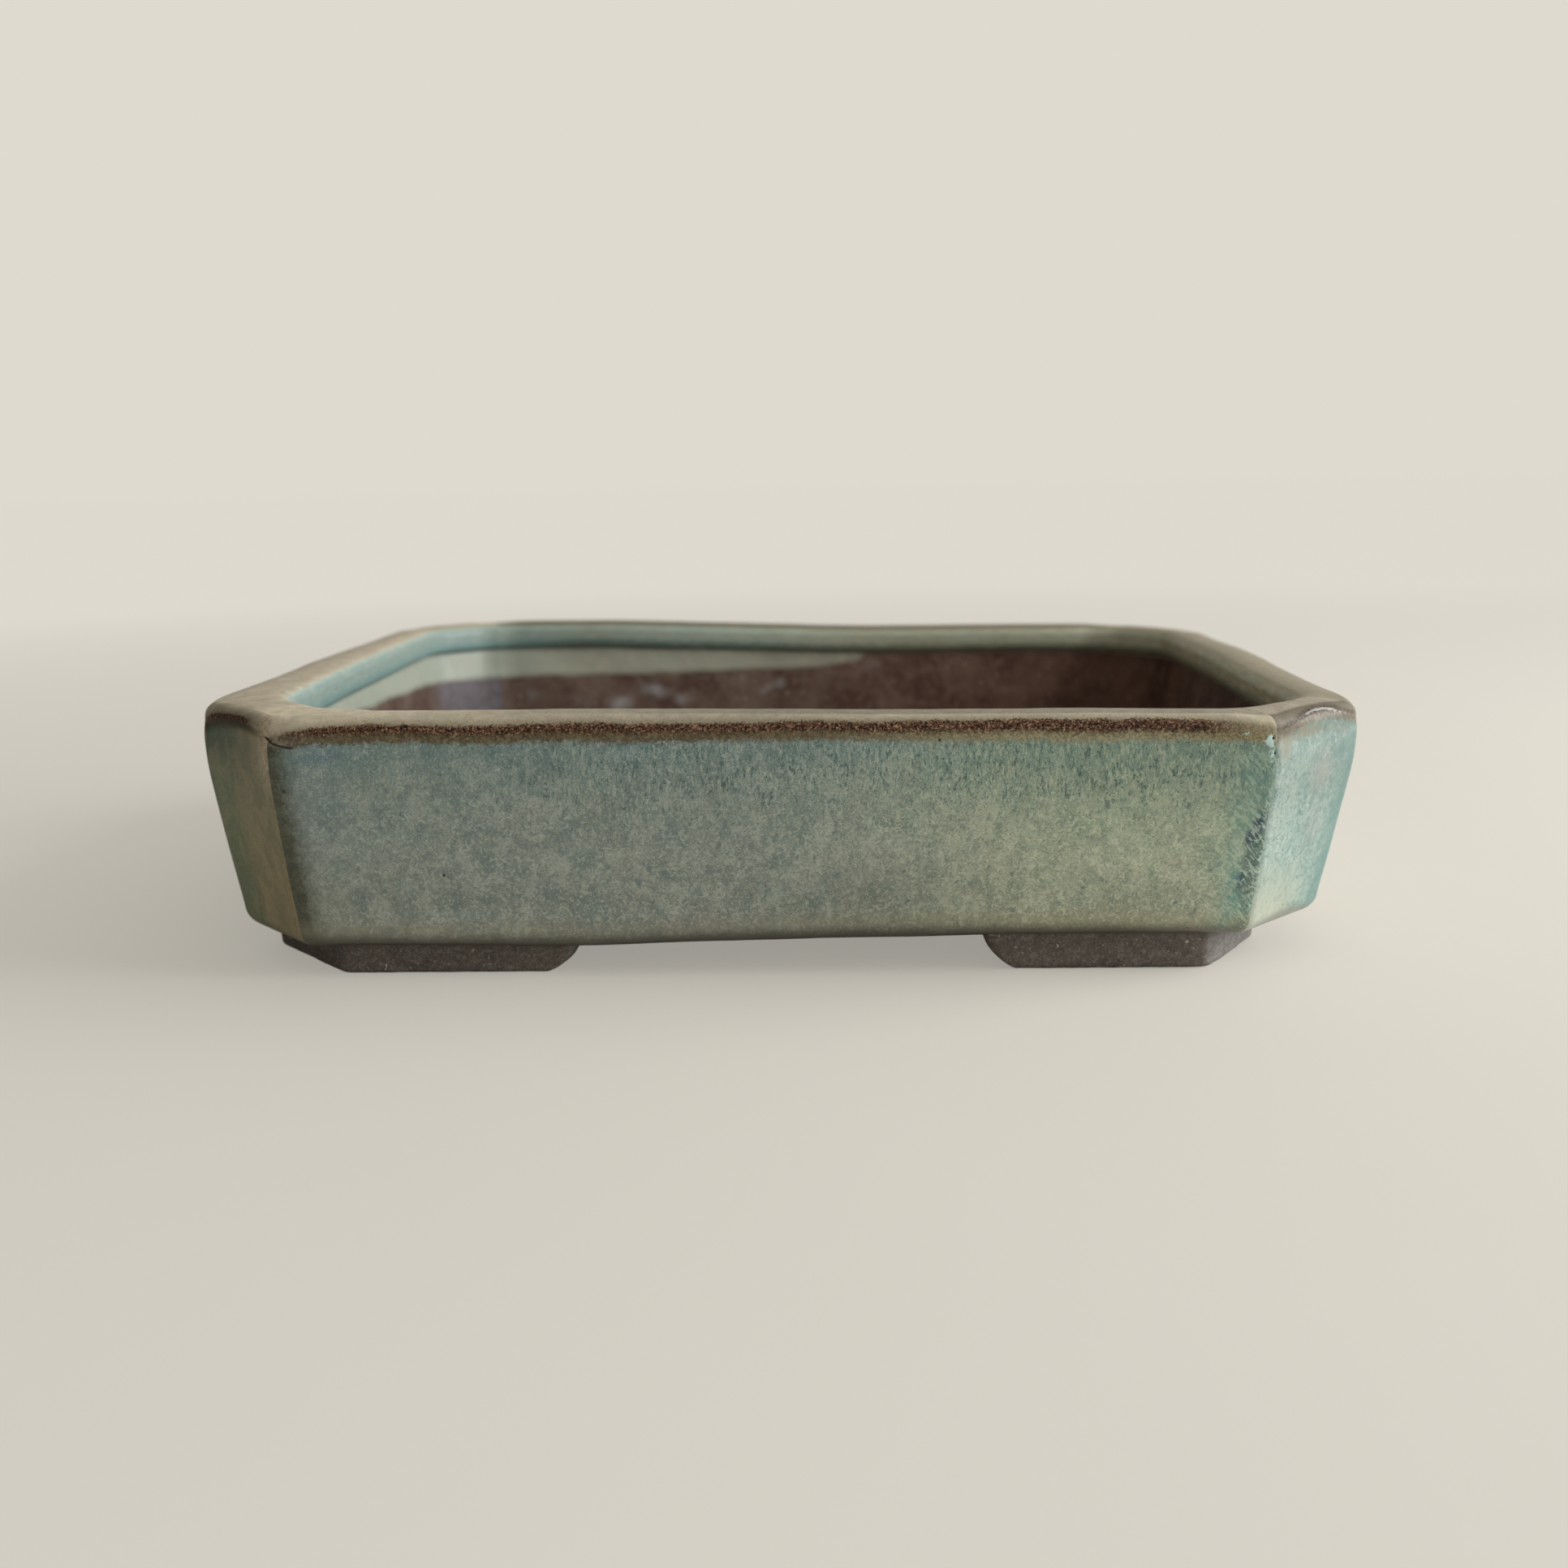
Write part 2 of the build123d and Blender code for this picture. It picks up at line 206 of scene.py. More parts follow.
# Row values are upright arrays, so that they combine with the column values below.
SECTION, zone = section_rows()
row_inset, row_z = SECTION[:, :1], SECTION[:, 1:]
ROWS = len(SECTION)
WALL_END = int(np.sum(zone <= WALL)) - 1            # last row of the outer wall
LIP_END = int(np.sum(zone <= LIP_IN)) - 1           # last row of the lip
run_length = np.concatenate([[0], np.cumsum(np.hypot(*np.diff(SECTION, axis=0).T))])
edge_row = np.argmin(np.hypot(*(SECTION - INNER_EDGE).T))
past_edge = (run_length - run_length[edge_row])[:, None]    # distance past the inner top edge
below_top = TOP - row_z
outer = zone <= LIP_OUT
inner = zone >= INNER

# Plan radius of the arrises, row by row: tight outside, soft inside.
ROW_RADIUS = np.select(
    [zone <= WALL, zone == LIP_OUT, zone == LIP_TOP],
    [ARRIS_RADIUS, ARRIS_RADIUS + 1.8 * np.minimum(1.0, row_inset / 1.9),
     4.5 + (row_inset - 1.9) / 5.0 * 8.0],
    12.5 - 2.5 * np.clip((row_inset - 8.6) / 4.6, 0, 1))[:, 0]

# ===================================================================== columns
ARRIS_STEPS = 6                                     # columns in each half arris
COLUMN_PITCH = (0.72, 0.6)                          # along long sides, along cut corners
FIRST_ARRIS, STRAIGHT, LAST_ARRIS = range(3)


def octagon(inset):
    x, y, cut = HALF_X - inset, HALF_Y - inset, CUT + TAN_MITRE * inset
    long_x, long_y = HALF_X - cut, HALF_Y - cut
    return np.array([
        (-long_x, -y), (long_x, -y), (x, -long_y), (x, long_y),
        (long_x, y), (-long_x, y), (-x, long_y), (-x, -long_y)])


def column_table():
    """(side, kind, share) of every column, and the first column of every side."""
    columns, mitres = [], []
    for k, length in enumerate(SIDE_LENGTHS):
        steps = int(round((length - 3) / COLUMN_PITCH[k % 2]))
        mitres.append(len(columns))
        columns += [(k, FIRST_ARRIS, i / ARRIS_STEPS) for i in range(ARRIS_STEPS)]
        columns += [(k, STRAIGHT, i / steps) for i in range(steps + 1)]
        columns += [(k, LAST_ARRIS, i / ARRIS_STEPS) for i in range(ARRIS_STEPS - 1, 0, -1)]
    return np.array(columns), mitres + [len(columns)]


COLUMN_TABLE, MITRES = column_table()
COLUMNS = len(COLUMN_TABLE)
side = COLUMN_TABLE[:, 0].astype(int)
column_kind, column_share = COLUMN_TABLE[:, 1], COLUMN_TABLE[:, 2]
(front, front_right, right, back_right,
 back, back_left, left, front_left) = (side == k for k in range(8))
cut_corner = side % 2 == 1


def plan_points(inset, radius):
    """Plan position of every column at an inset, with rounded arrises."""
    corners = octagon(inset)
    edges = np.roll(corners, -1, 0) - corners
    edges /= np.linalg.norm(edges, axis=1)[:, None]
    normals = np.stack([edges[:, 1], -edges[:, 0]], -1)
    points = np.zeros((COLUMNS, 2))
    for k in range(8):
        following = (k + 1) % 8
        trim = TAN_MITRE * radius * edges[k]
        first, last = corners[k] + trim, corners[following] - trim
        here = (side == k) & (column_kind == STRAIGHT)
        points[here] = first + (last - first) * column_share[here][:, None]
        for kind, corner, way in ((FIRST_ARRIS, k, 1), (LAST_ARRIS, following, -1)):
            outward = unit(normals[corner - 1] + normals[corner])
            centre = corners[corner] - outward * radius / math.cos(math.radians(22.5))
            here = (side == k) & (column_kind == kind)
            angle = angle_of(outward) + math.radians(22.5) * column_share[here] * way
            points[here] = centre + radius * np.stack([np.cos(angle), np.sin(angle)], -1)
    return points


# Distances along each side, measured on the outside.
side_length = SIDE_LENGTHS[side]
arris_trim = TAN_MITRE * ARRIS_RADIUS
along = np.select(
    [column_kind == FIRST_ARRIS, column_kind == STRAIGHT],
    [arris_trim * column_share, arris_trim + (side_length - 2 * arris_trim) * column_share],
    side_length - arris_trim * column_share)
to_end = side_length - along
from_arris = np.minimum(along, to_end)

# ===================================================================== surface
# pinholes in the outside: side, distance along, height, radius, depth
PINHOLES = [
    (0, 23.5, 16.4, 0.30, 0.22), (0, 1.8, 29.0, 0.28, 0.22), (0, 143.3, 36.5, 0.24, 0.2),
    (0, 143.6, 34.4, 0.22, 0.2), (0, 96.5, 36.4, 0.25, 0.2), (4, 60.0, 22.0, 0.3, 0.25),
    (2, 44.0, 27.0, 0.3, 0.25), (6, 71.0, 18.0, 0.28, 0.25)]

nominal = np.zeros((ROWS, COLUMNS, 3))
for i in range(ROWS):
    nominal[i, :, :2] = plan_points(SECTION[i, 0], ROW_RADIUS[i])
nominal[..., 2] = row_z
nominal_x, nominal_y = nominal[..., 0], nominal[..., 1]

# crack where the lip meets the wall, at the left end of the front
crack_along = np.where(front_left, -to_end, along)
crack_height = row_z - (36.5 - 0.55 * crack_along + 0.07 * np.clip(crack_along, 0, 9) ** 2)
crack_depth = 0.30 * rise(crack_along, -1.1, 0.0) * fall(crack_along, 2.0, 4.9) * (
    (front & (along < 5.6)) | (front_left & (to_end < 1.2)))


def grid_normals(points):
    down_rows = np.zeros_like(points)
    down_rows[1:-1] = points[2:] - points[:-2]
    down_rows[0], down_rows[-1] = points[1] - points[0], points[-1] - points[-2]
    across = np.roll(points, -1, 1) - np.roll(points, 1, 1)
    normals = np.cross(across, down_rows)
    return normals / (np.linalg.norm(normals, axis=-1)[..., None] + 1e-12)


def shaped_surface():
    """The drawn surface, worn, swelled, pressed by hand and leaned."""
    points = nominal.copy()
    normals = grid_normals(points)

    def push(amount):
        points[...] += normals * amount[..., None]

    # the top edge is rubbed rounder at the arrises, and slumps there a little
    edge = rise(row_z, 34.5, 39.6) * (zone <= LIP_TOP) * fall(row_inset, 3.0, 6.5)
    rub = 0.75 * bell(from_arris, 0, 2.6) * edge
    points[..., :2] -= normals[..., :2] * rub[..., None]
    points[..., 2] -= 0.30 * bell(from_arris, 0, 3.2) * edge * rise(row_z, 38, 39.8)

    # the lip swells very slightly over a shallow cove
    cove = np.where(cut_corner, 0.15, 0.10) * (1 - 0.6 * bell(from_arris, 0, 1.6))
    push(-cove * bell(row_z, 35.6, 1.5) * outer)
    push(np.where(cut_corner, 0.10, 0.12) * bell(row_z, 37.9, 0.9) * (zone == LIP_OUT))

    # hand pressure, waviness and glaze thickness
    wave = 0.17 * noise3(nominal, 34, 1) + 0.07 * noise3(nominal, 13, 2)
    fine = 0.018 * noise3(nominal, 3.2, 3) + 0.008 * noise3(nominal, 1.3, 4)
    rough = (0.22 * noise3(nominal * [1, 1, 1.6], 15, 5)
             + 0.085 * noise3(nominal * [1, 1, 2.2], 5.0, 6) + 0.03 * noise3(nominal, 1.7, 7))
    push(wave * (1 - 0.35 * (zone == LIP_TOP)) + fine + rough * inner * rise(past_edge, 4, 8))
    # the lip's height wanders along its length
    wander = 0.14 * noise3(nominal, 42, 8) + 0.05 * noise3(nominal, 9, 9)
    points[..., 2] += wander * rise(row_z, 30, 38)
    # groove under the lip's inner face
    push(-0.17 * bell(past_edge, 6.2, 1.15))

    # the front left inner corner is thick
    near_corner = fall(along, 0, 9) * front
    fill = np.interp(nominal_y, [-54, -47, -25, 0, 30, 54], [3.4, 3.2, 2.0, 0.9, 0.3, 0.0]) * left
    fill = fill + 3.4 * front_left + 3.4 * near_corner
    weight = np.select([zone == LIP_TOP, zone == LIP_IN, inner],
                       [rise(row_inset, 3.2, 7.0), 1.0, rise(row_z, 22, 33)], 0.0)
    points[..., 0] += fill * weight
    points[..., 1] += 0.5 * weight * (
        front_left + near_corner + left * rise(-nominal_y[0], 30, 52))

    points += lean(points)
    push(-crack_depth * bell(crack_height, 0, 0.30) * outer)
    for k, distance, height, radius, depth in PINHOLES:
        pit = bell(along, distance, radius) * bell(row_z, height, radius)
        push(-depth * pit * (side == k) * outer)
    return points


surface = shaped_surface()
surface_normals = grid_normals(surface)


def pinhole_spots():
    """(position, radius) of every pinhole on the finished surface."""
    spots = []
    for k, distance, height, radius, _ in PINHOLES:
        miss = (np.abs(along - distance) + np.abs(row_z - height)
                + 99.0 * (side != k) + 99.0 * ~outer)
        nearest = np.unravel_index(np.argmin(miss), miss.shape)
        spots.append((tuple(surface[nearest]), radius))
    return spots


# ================================================================== glaze maps
# Per-vertex maps that steer the glaze material, in the order they are stored.
# Of these, gain holds painted light and shade, the glint map holds painted highlights and one white
# glaze crystal, and sheen holds a painted reflection.
MAP_NAMES = """t_out band s_in clay_in dark turq pale blue khaki soft facet_r facet_l cream
    blush lipglow ridge smear sheen under xn east olive navy roll muddy rusty glint gain
    facet frac gold crack_d crack_on droop""".split()

# drifts of blue on the front: x, z, radius in x, radius in z, amount
BLUE_DRIFTS = [
    (-64.5, 34.3, 4.2, 1.6, 1.0), (-63, 27, 2.2, 1.6, .6), (-19, 34.5, 5, 2.0, .7),
    (-41, 33.5, 9, 3, .25), (6, 35, 10, 2, .25), (-66, 30, 4, 7, .45), (-47, 27, 10, 3, .15),
    (-14, 22.5, 1.2, 1.4, .6)]
# smears of glaze on the bare clay of the inner back wall, same columns
SMEARS = [
    (-57, 24.5, 6, 2.4, .25), (-61.5, 24.5, 1.6, 2.4, .5), (-49.5, 23.6, 3.2, 1.6, .45),
    (-40.8, 22.4, 3.4, 1.9, .95), (-33.0, 25.2, 4.4, 2.0, .85), (-25.6, 23.4, 2.8, 1.5, .80),
    (-17.5, 27.6, 2.0, 1.2, .50), (-12.6, 28.4, 1.5, 1.5, .60), (-5.0, 27.2, 2.5, 1.8, .80),
    (-8.0, 25.2, 1.5, 1.6, .50), (16.5, 31.2, 4.0, 2.0, .45)]
# navy pools by the front's right arris: distance from it, z, two radii, amount
NAVY_POOLS = [(1.5, 23.0, 0.9, 1.6, 1.0), (2.5, 21.0, 0.8, 1.3, .9),
              (2.7, 14.2, 1.0, 1.8, .7), (1.0, 17.0, 0.8, 1.2, .4)]


def patches(x, table, power=2):
    return sum(amount * bell(x, at_x, radius_x, power) * bell(row_z, at_z, radius_z, power)
               for at_x, at_z, radius_x, radius_z, amount in table)


def rim_maps():
    """Depth below the lip's outer top edge, and the bands of colour it drives."""
    depth = np.where(outer, below_top, 0.25 - 0.12 * (row_inset - 1.9))
    # lowered at the arrises, where the pale lip colour droops
    depth = depth - 1.9 * bell(from_arris, 0, 3.0) * ~cut_corner * ~front * outer * rise(
        depth, 0.2, 1.5)
    depth = depth - 0.45 * fall(to_end, 1.0, 13.0) * front * outer * rise(depth, 0.3, 1.5)
    # on the cut corners the dark line is a shallow arch
    arch = np.where(front_left, 0.012 * (along - 13) ** 2 - 0.30,
                    0.012 * (along - 11.3) ** 2 - 0.05) * cut_corner
    depth = depth - arch * outer * rise(depth, 0.2, 1.2)
    depth = depth + 0.22 * noise3(nominal, 9, 11) * outer
    middle = 0.30 * bell(nominal_x, 13, 17) + 0.11 * rise(nominal_x, 25, 50)
    depth = depth + middle * front * outer * rise(depth, 0.3, 1.0)
    # on the front right corner the dark line climbs almost to the top edge
    depth = depth + (0.42 + 0.62 * bell(along, 12.0, 5.5)) * front_right * np.where(
        outer, 1.0, fall(row_inset, 1.9, 3.2))

    # strength of the dark speckled line
    band = 1 - front * (0.45 * bell(along, -0.6, 2.4) + 0.85 * fall(to_end, 3.0, 11.0))
    band = band * (1 - bell(from_arris, 0, 1.7) * ~front)
    band = band * np.where(front_left, fall(along, 16.0, 19.5), 1.0)
    band = band * np.where(front_right, 0.70 + 0.30 * bell(along, 9.5, 7), 1.0)
    # the beige of the lip rolls down over the left arris of the front
    roll = 0.8 * front * bell(along, -0.2, 0.8) * fall(below_top, 2.6, 3.6)
    roll = np.maximum(roll, front_left * bell(to_end, 0.6, 3.0) * fall(below_top, 4.5, 13.0))
    # grey-brown smear between that and the crack
    muddy = (front * bell(along, 2.4, 3.2) * rise(below_top, 2.4, 3.2)
             * rise(crack_height, -0.3, 0.5))
    droop = front * (2.3 * np.exp(-along / 3.2) + 0.9 * np.exp(-to_end / 4.5)
                     + np.interp(along, [52, 85, 117, 140], [0.32, 0.22, -0.32, -0.20]))
    return {
        "t_out": depth, "band": band, "roll": roll * outer, "muddy": muddy * outer,
        "droop": droop * outer, "gold": fall(to_end, 4.0, 20.0) * rise(to_end, 0.0, 2.2) * front,
    }


def inside_maps():
    """Lip inner face, and the edge between glaze and bare clay below it."""
    # The glaze's lower edge falls from the middle of the back round the left side.
    glaze_edge = np.select([back, back_left, left, front_left, front], [
        np.interp(nominal_x, [-72, -52, -37, -19, -2, 6.8, 14, 15.5, 90],
                  [28.2, 28.3, 28.9, 29.5, 30.5, 31.3, 32.4, 34.9, 34.9]),
        28.2,
        np.interp(nominal_y, [-54, -10, 30, 54], [31.0, 30.8, 29.4, 28.2]),
        31.5,
        np.interp(nominal_x, [-72, -30, 0, 72], [32.5, 33.4, 34.9, 34.9])], 34.9)
    drawn = nominal * [1, 1, 0.15]
    drip = 0.36 * noise3(drawn, 9, 21) + 0.14 * noise3(drawn, 4.0, 22)
    clay = glaze_edge - row_z + drip * np.clip((35 - glaze_edge) / 4, 0.0, 1.0)

    # how turquoise and bright the lip's inner face is: left yes, right hardly
    leftward = np.clip((HALF_X - CUT - nominal_x) / (2 * (HALF_X - CUT)), 0, 1)
    lipglow = np.select(
        [back, back_left | left, front_left, back_right, front],
        [0.14 + 0.36 * rise(leftward, 0.30, 0.75) + 0.50 * rise(leftward, 0.82, 1.0),
         1.0, 0.8, 0.10, 0.15], 0.0)
    stray = np.clip(noise3(nominal * [1, 1, 1.5], 9, 51) - .35, 0, 1) * 0.9
    smear = patches(nominal_x, SMEARS, 2.2) * back + stray * ~(back | back_left)
    # painted reflection: a lavender sheen of light on the bare clay around the back left corner
    sheen = back_left + left * rise(nominal_y, 44, 54) + back * fall(nominal_x, -73, -69)
    return {
        "s_in": past_edge, "clay_in": np.where(inner, clay, -1.5), "lipglow": lipglow,
        "ridge": back + 0.7 * back_right + 0.35 * back_left + 0.45 * right,
        "smear": smear * inner * (0.8 + 0.4 * noise3(nominal, 2.3, 52)),
        "sheen": sheen * inner * rise(row_z, 15, 20),
    }


def arris_maps():
    """Strips down the outer arrises: pooled glaze, turquoise fringe, thin pale run."""
    ragged = 0.9 * noise3(nominal * [1, 1, 0.6], 2.4, 31) + 0.5 * noise3(nominal, 1.1, 32)
    lower = rise(below_top, 4.0, 7.0)

    def strip(where, distance, width, amount, centre=0.0):
        return amount * bell(distance + ragged * 0.45, centre, width, 2.2) * where

    olive = 1.35 * bell(along + ragged * 0.2, 0.4, 2.7, 2.1) * front
    olive *= rise(below_top, 3.7, 4.6) * (0.95 + 0.12 * noise3(nominal, 5, 34))
    olive += strip(front, along, 4.0, 0.22, 1.4) * rise(below_top, 10, 27)
    olive += strip(left, to_end, 2.2, .7) * lower + strip(front_left, along, 1.2, .5)

    dark = bell(to_end + ragged * 0.55, 0.90 + 0.3 * bell(row_z, 17, 6),
                1.35 + 0.35 * rise(below_top, 12, 24), 2.6) * front
    dark *= rise(below_top, 6.5, 10) * (0.50 + 0.50 * rise(below_top, 11, 16))
    dark *= np.clip(0.72 + 0.55 * noise3(nominal, 4.5, 33) + 0.25 * rise(below_top, 12, 18), 0, 1)
    dark *= 1 - 0.40 * rise(below_top, 24, 30)
    dark += strip(right, along, 2.2, 0.30)
    dark += lower * (strip(right, to_end, 2.2, 0.7) + strip(back, along, 2.2, 0.55)
                     + strip(back, to_end, 2.2, 0.75) + strip(left, along, 2.2, 0.6))

    turq = strip(front, to_end, 3.0, 0.75, 2.4) * rise(below_top, 4, 8) * (
        1 - 0.4 * rise(below_top, 16, 24))
    turq += strip(front, to_end, 1.2, 0.75, 3.7) * rise(below_top, 19, 24)
    turq += strip(front, to_end, 6.0, 0.30, 2.0) * lower
    turq += strip(front, to_end, 2.6, 0.4, 1.0) * rise(below_top, 26, 31)
    turq += strip(front_right, to_end, 3.2, 1.0) * rise(below_top, 4.0, 7)
    turq += strip(right, along, 3.6, 0.8) + strip(back, along, 4.0, 0.6)
    turq += strip(back, to_end, 4.0, 0.5) + strip(left, to_end, 4, .5)

    pale = bell(from_arris, 0, 0.8) * 0.4 * fall(below_top, 5, 12) * ~(
        front | front_right | front_left)
    pale = pale + strip(front_right, along, 1.1, 0.55) * fall(below_top, 3.2, 6.0)
    pale += 0.8 * bell(along, 1.6, 1.0) * bell(row_z, 37.4, 0.9) * front_right
    navy = patches(to_end + ragged * 0.3, NAVY_POOLS) * front
    return {"dark": dark * outer, "turq": turq * outer, "olive": olive * outer,
            "navy": navy * outer, "pale": np.clip(pale, 0, 1) * outer}


def hue_maps(depth):
    """Broad drifts of hue over the outside, and small marks near the lip, among them painted
    highlights (glints).
    """
    frac = along / side_length
    blue = patches(nominal_x, BLUE_DRIFTS) * front
    blue += np.clip(noise3(nominal, 20, 41), 0, 1) * 0.6 * ~front * rise(row_z, 18, 34)
    blush = front_right * (bell(along, 13.0, 3.2) * bell(row_z, 29.5, 3.5) * 0.55
                           + bell(along, 14.0, 3.0) * bell(row_z, 20, 4.0) * 0.35)
    # distance along, z, two radii, amount
    rusty = front_right * patches(along, [
        (7.5, 36.6, 5.2, 1.0, 0.9), (2.2, 35.0, 1.6, 1.9, 0.8), (18.2, 35.9, 2.6, 1.0, 0.35)])
    # painted highlight: a glint arc on the front right corner's lip, just under its dark line
    glint_line = depth - 0.014 * np.clip(along - 12, 0, 9) ** 2
    glint = front_right * 1.1 * bell(along, 13.0, 7.5) * bell(glint_line, 1.55, 0.20)
    # painted highlights by the front's right arris
    glint = glint + front * patches(to_end, [
        (1.2, 36.0, 0.75, 1.2, 1.0), (4.6, 37.0, 1.3, 0.35, 0.55), (0.8, 33.6, 0.5, 0.9, 0.62)])
    # one white crystal in the glaze on the front
    glint = glint + front * patches(along, [(57.5, 36.0, 1.5, 0.45, 0.38)])
    return {
        "blue": blue, "blush": blush, "rusty": rusty, "glint": glint, "frac": frac,
        "khaki": np.clip(0.5 + 0.7 * noise3(nominal * [1, 1, 1.6], 19, 42), 0, 1),
        # east: 0 on the front left of its middle, 1 at its right end and round the right side, 0.5
        # elsewhere; its tones are yellower glaze, also brighter as painted light
        "east": np.select([front, front_right | right], [rise(nominal_x, -6, 52), 1.0], 0.5),
        "soft": bell(nominal_x, -72, 12) * 0.6 * front + 0.75 * cut_corner,
        "facet": cut_corner, "facet_r": front_right + 0.55 * back_right,
        "facet_l": front_left + 0.45 * back_left,
        "cream": front_right * fall(row_z, 7, 19) * fall(frac, 0.35, 0.85),
        "under": zone == UNDERSIDE, "xn": nominal_x / HALF_X,
        "crack_d": crack_height, "crack_on": crack_depth * 3.3 * outer,
    }


def painted_light_and_shade_gains():
    """Painted light and shade: how much of its brightness each region keeps, set by how the light
    falls there.
    """
    x = nominal_x
    # painted shade low on the front where the wall turns under, painted light just above it
    front_gain = np.interp(row_z, [5, 6.2, 8.5, 12, 24, 34, 40],
                           [0.62, 0.95, 1.20, 1.0, 1.0, 0.94, 0.94])
    # painted shade high on the right of the front, painted light and shade low on its right
    front_gain = front_gain * (1 - 0.16 * rise(x, 20, 60) * rise(row_z, 20, 32)
                               + 0.10 * bell(x, 68, 8) * fall(row_z, 12, 20)
                               - 0.11 * rise(x, 25, 60) * fall(row_z, 10, 17))
    # painted light and shade along the front's rounded top edge: darker in the middle, lighter
    # towards the ends
    rim = np.interp(x, [-74, -55, -25, 0, 35, 60, 74], [1.04, 0.98, 0.80, 0.74, 0.98, 1.16, 1.14])
    front_gain *= 1 + (rim - 1) * rise(row_z, 38.2, 39.2)
    front_gain *= 1 - 0.17 * bell(x, 17, 17) * fall(row_z, 12, 24)
    # painted light and shade on the cut corners and the right side; the front right corner, which
    # the light strikes, is made darker
    outer_gain = np.select([front, front_right, front_left, right | back_right], [
        front_gain, 0.47 - 0.10 * rise(row_z, 18, 32),
        0.88 - 0.22 * rise(row_z, 20, 35) + 0.36 * bell(to_end, 0, 3.4) * rise(row_z, 25, 34),
        0.62], 0.95)
    # painted light and shade on the lip's top, lighter to the left
    top_gain = np.select([front, back_left | left, front_left, back], [
        np.interp(x, [-80, -60, -35, 0, 60, 80], [1.18, 1.10, 0.70, 0.48, 0.52, 0.60]),
        0.90, 0.90 + 0.25 * fall(to_end, 0, 12),
        np.interp(x, [-74, -60, 58, 74], [0.88, 0.45, 0.44, 0.66])], 0.66)
    # painted light and shade on the lip's inner face: darker on the left sides, lighter towards the
    # right
    lip_gain = np.select([side >= 5, back, back_right, right], [
        0.44, np.interp(x, [-73, -56, 0, 40, 56, 72], [0.45, 0.74, 1.12, 1.08, 1.15, 1.55]),
        1.62, 1.62 + 0.2 * rise(to_end, 0, 20)], 0.8)
    into = rise(past_edge, 0.2, 1.9)
    # painted shade on the inner walls of the left sides and at the back's left end
    inner_gain = np.select([side >= 5, back], [0.64, np.interp(x, [-73, -56], [0.66, 1.0])], 1.0)
    gain = np.select([outer, zone == LIP_TOP, zone == LIP_IN],
                     [outer_gain, top_gain, top_gain * (1 - into) + lip_gain * into], inner_gain)
    # painted highlight: a bright line along the front's inner top edge
    return gain * (1 + 0.45 * bell(past_edge, 0.0, 0.45) * front)


def glaze_maps():
    rim = rim_maps()
    maps = {**rim, **inside_maps(), **arris_maps(), **hue_maps(rim["t_out"]), "gain": painted_light_and_shade_gains()}
    return {name: maps[name] * np.ones((ROWS, COLUMNS)) for name in MAP_NAMES}


GLAZE_MAPS = glaze_maps()


# ================================================================ mesh helpers
def make_piece(name, points, faces, material, body, node_name,
               maps=None, normals=None, smooth=None, sharp_angle=None):
    mesh = bpy.data.meshes.new(name)
    mesh.from_pydata((np.asarray(points) * 0.001).tolist(), [], faces)
    mesh.update()
    for key, values in (maps or {}).items():
        attribute = mesh.attributes.new(key, "FLOAT", "POINT")
        attribute.data.foreach_set("value", np.asarray(values, np.float32))
    if smooth is None:
        smooth = np.ones(len(mesh.polygons), bool)
    mesh.polygons.foreach_set("use_smooth", np.array(smooth, bool))
    if normals is not None:
        mesh.normals_split_custom_set([tuple(normal) for normal in normals])
    mesh.materials.append(material)
    piece = bpy.data.objects.new(name, mesh)
    bpy.context.scene.collection.objects.link(piece)
    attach(piece, body)
    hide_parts(node_name)
    if sharp_angle:
        mesh.set_sharp_from_angle(angle=math.radians(sharp_angle))


def band(ring, next_ring, turned=False):
    """Quads joining two closed rings; `turned` reverses their winding."""
    for j in range(len(ring)):
        k = (j + 1) % len(ring)
        quad = (ring[j], next_ring[j], next_ring[k], ring[k])
        yield (quad[0], *quad[:0:-1]) if turned else quad


# ================================================================ node helpers
GLAZE_ALBEDO = 2.05        # from the shade wanted on the front face to its albedo
tree = None                # the node tree that the helpers below add to


def start_tree(owner):
    """Empty the node tree of a material or world, and build in it from now on."""
    global tree
    owner.use_nodes = True
    tree = owner.node_tree
    tree.nodes.clear()
    return owner


def new_material(name):
    return start_tree(bpy.data.materials.new(name))


def node(kind, inputs=None, **settings):
    """Add a node; `inputs` maps its sockets to values or to sockets to link."""
    added = tree.nodes.new("ShaderNode" + kind)
    for key, value in settings.items():
        setattr(added, key, value)
    for key, value in (inputs or {}).items():
        if isinstance(value, bpy.types.NodeSocket):
            tree.links.new(value, added.inputs[key])
        else:
            added.inputs[key].default_value = value
    return added


def linear(level):
    level = level / 255.0
    return level / 12.92 if level <= 0.04045 else ((level + 0.055) / 1.055) ** 2.4


def srgb(red, green, blue, gain=1.0):
    return tuple(min(1, linear(level) * gain) for level in (red, green, blue)) + (1.0,)


def glaze(red, green, blue, gain=1.0):
    return srgb(red, green, blue, GLAZE_ALBEDO * gain)


def vector(operation, first, second, output="Vector"):
    inputs = {0: first, 1: second}
    return node("VectorMath", inputs, operation=operation).outputs[output]


def scaled(value, factors):
    return vector("MULTIPLY", value, factors)


def object_mm():
    return scaled(node("TexCoord").outputs["Object"], (1000.0, 1000.0, 1000.0))


def noise(place, size, detail, rough=0.5, twist=0.0, shift=None, stretch=None):
    """Noise with features of `size` mm; `twist` distorts it."""
    if shift:
        place = vector("ADD", place, shift)
    if stretch:
        place = scaled(place, stretch)
    return node("TexNoise", {"Vector": place, "Scale": 1.0 / size, "Detail": detail,
                             "Roughness": rough, "Distortion": twist}).outputs[0]


def calc(operation, *values):
    return node("Math", dict(enumerate(values)), operation=operation).outputs[0]


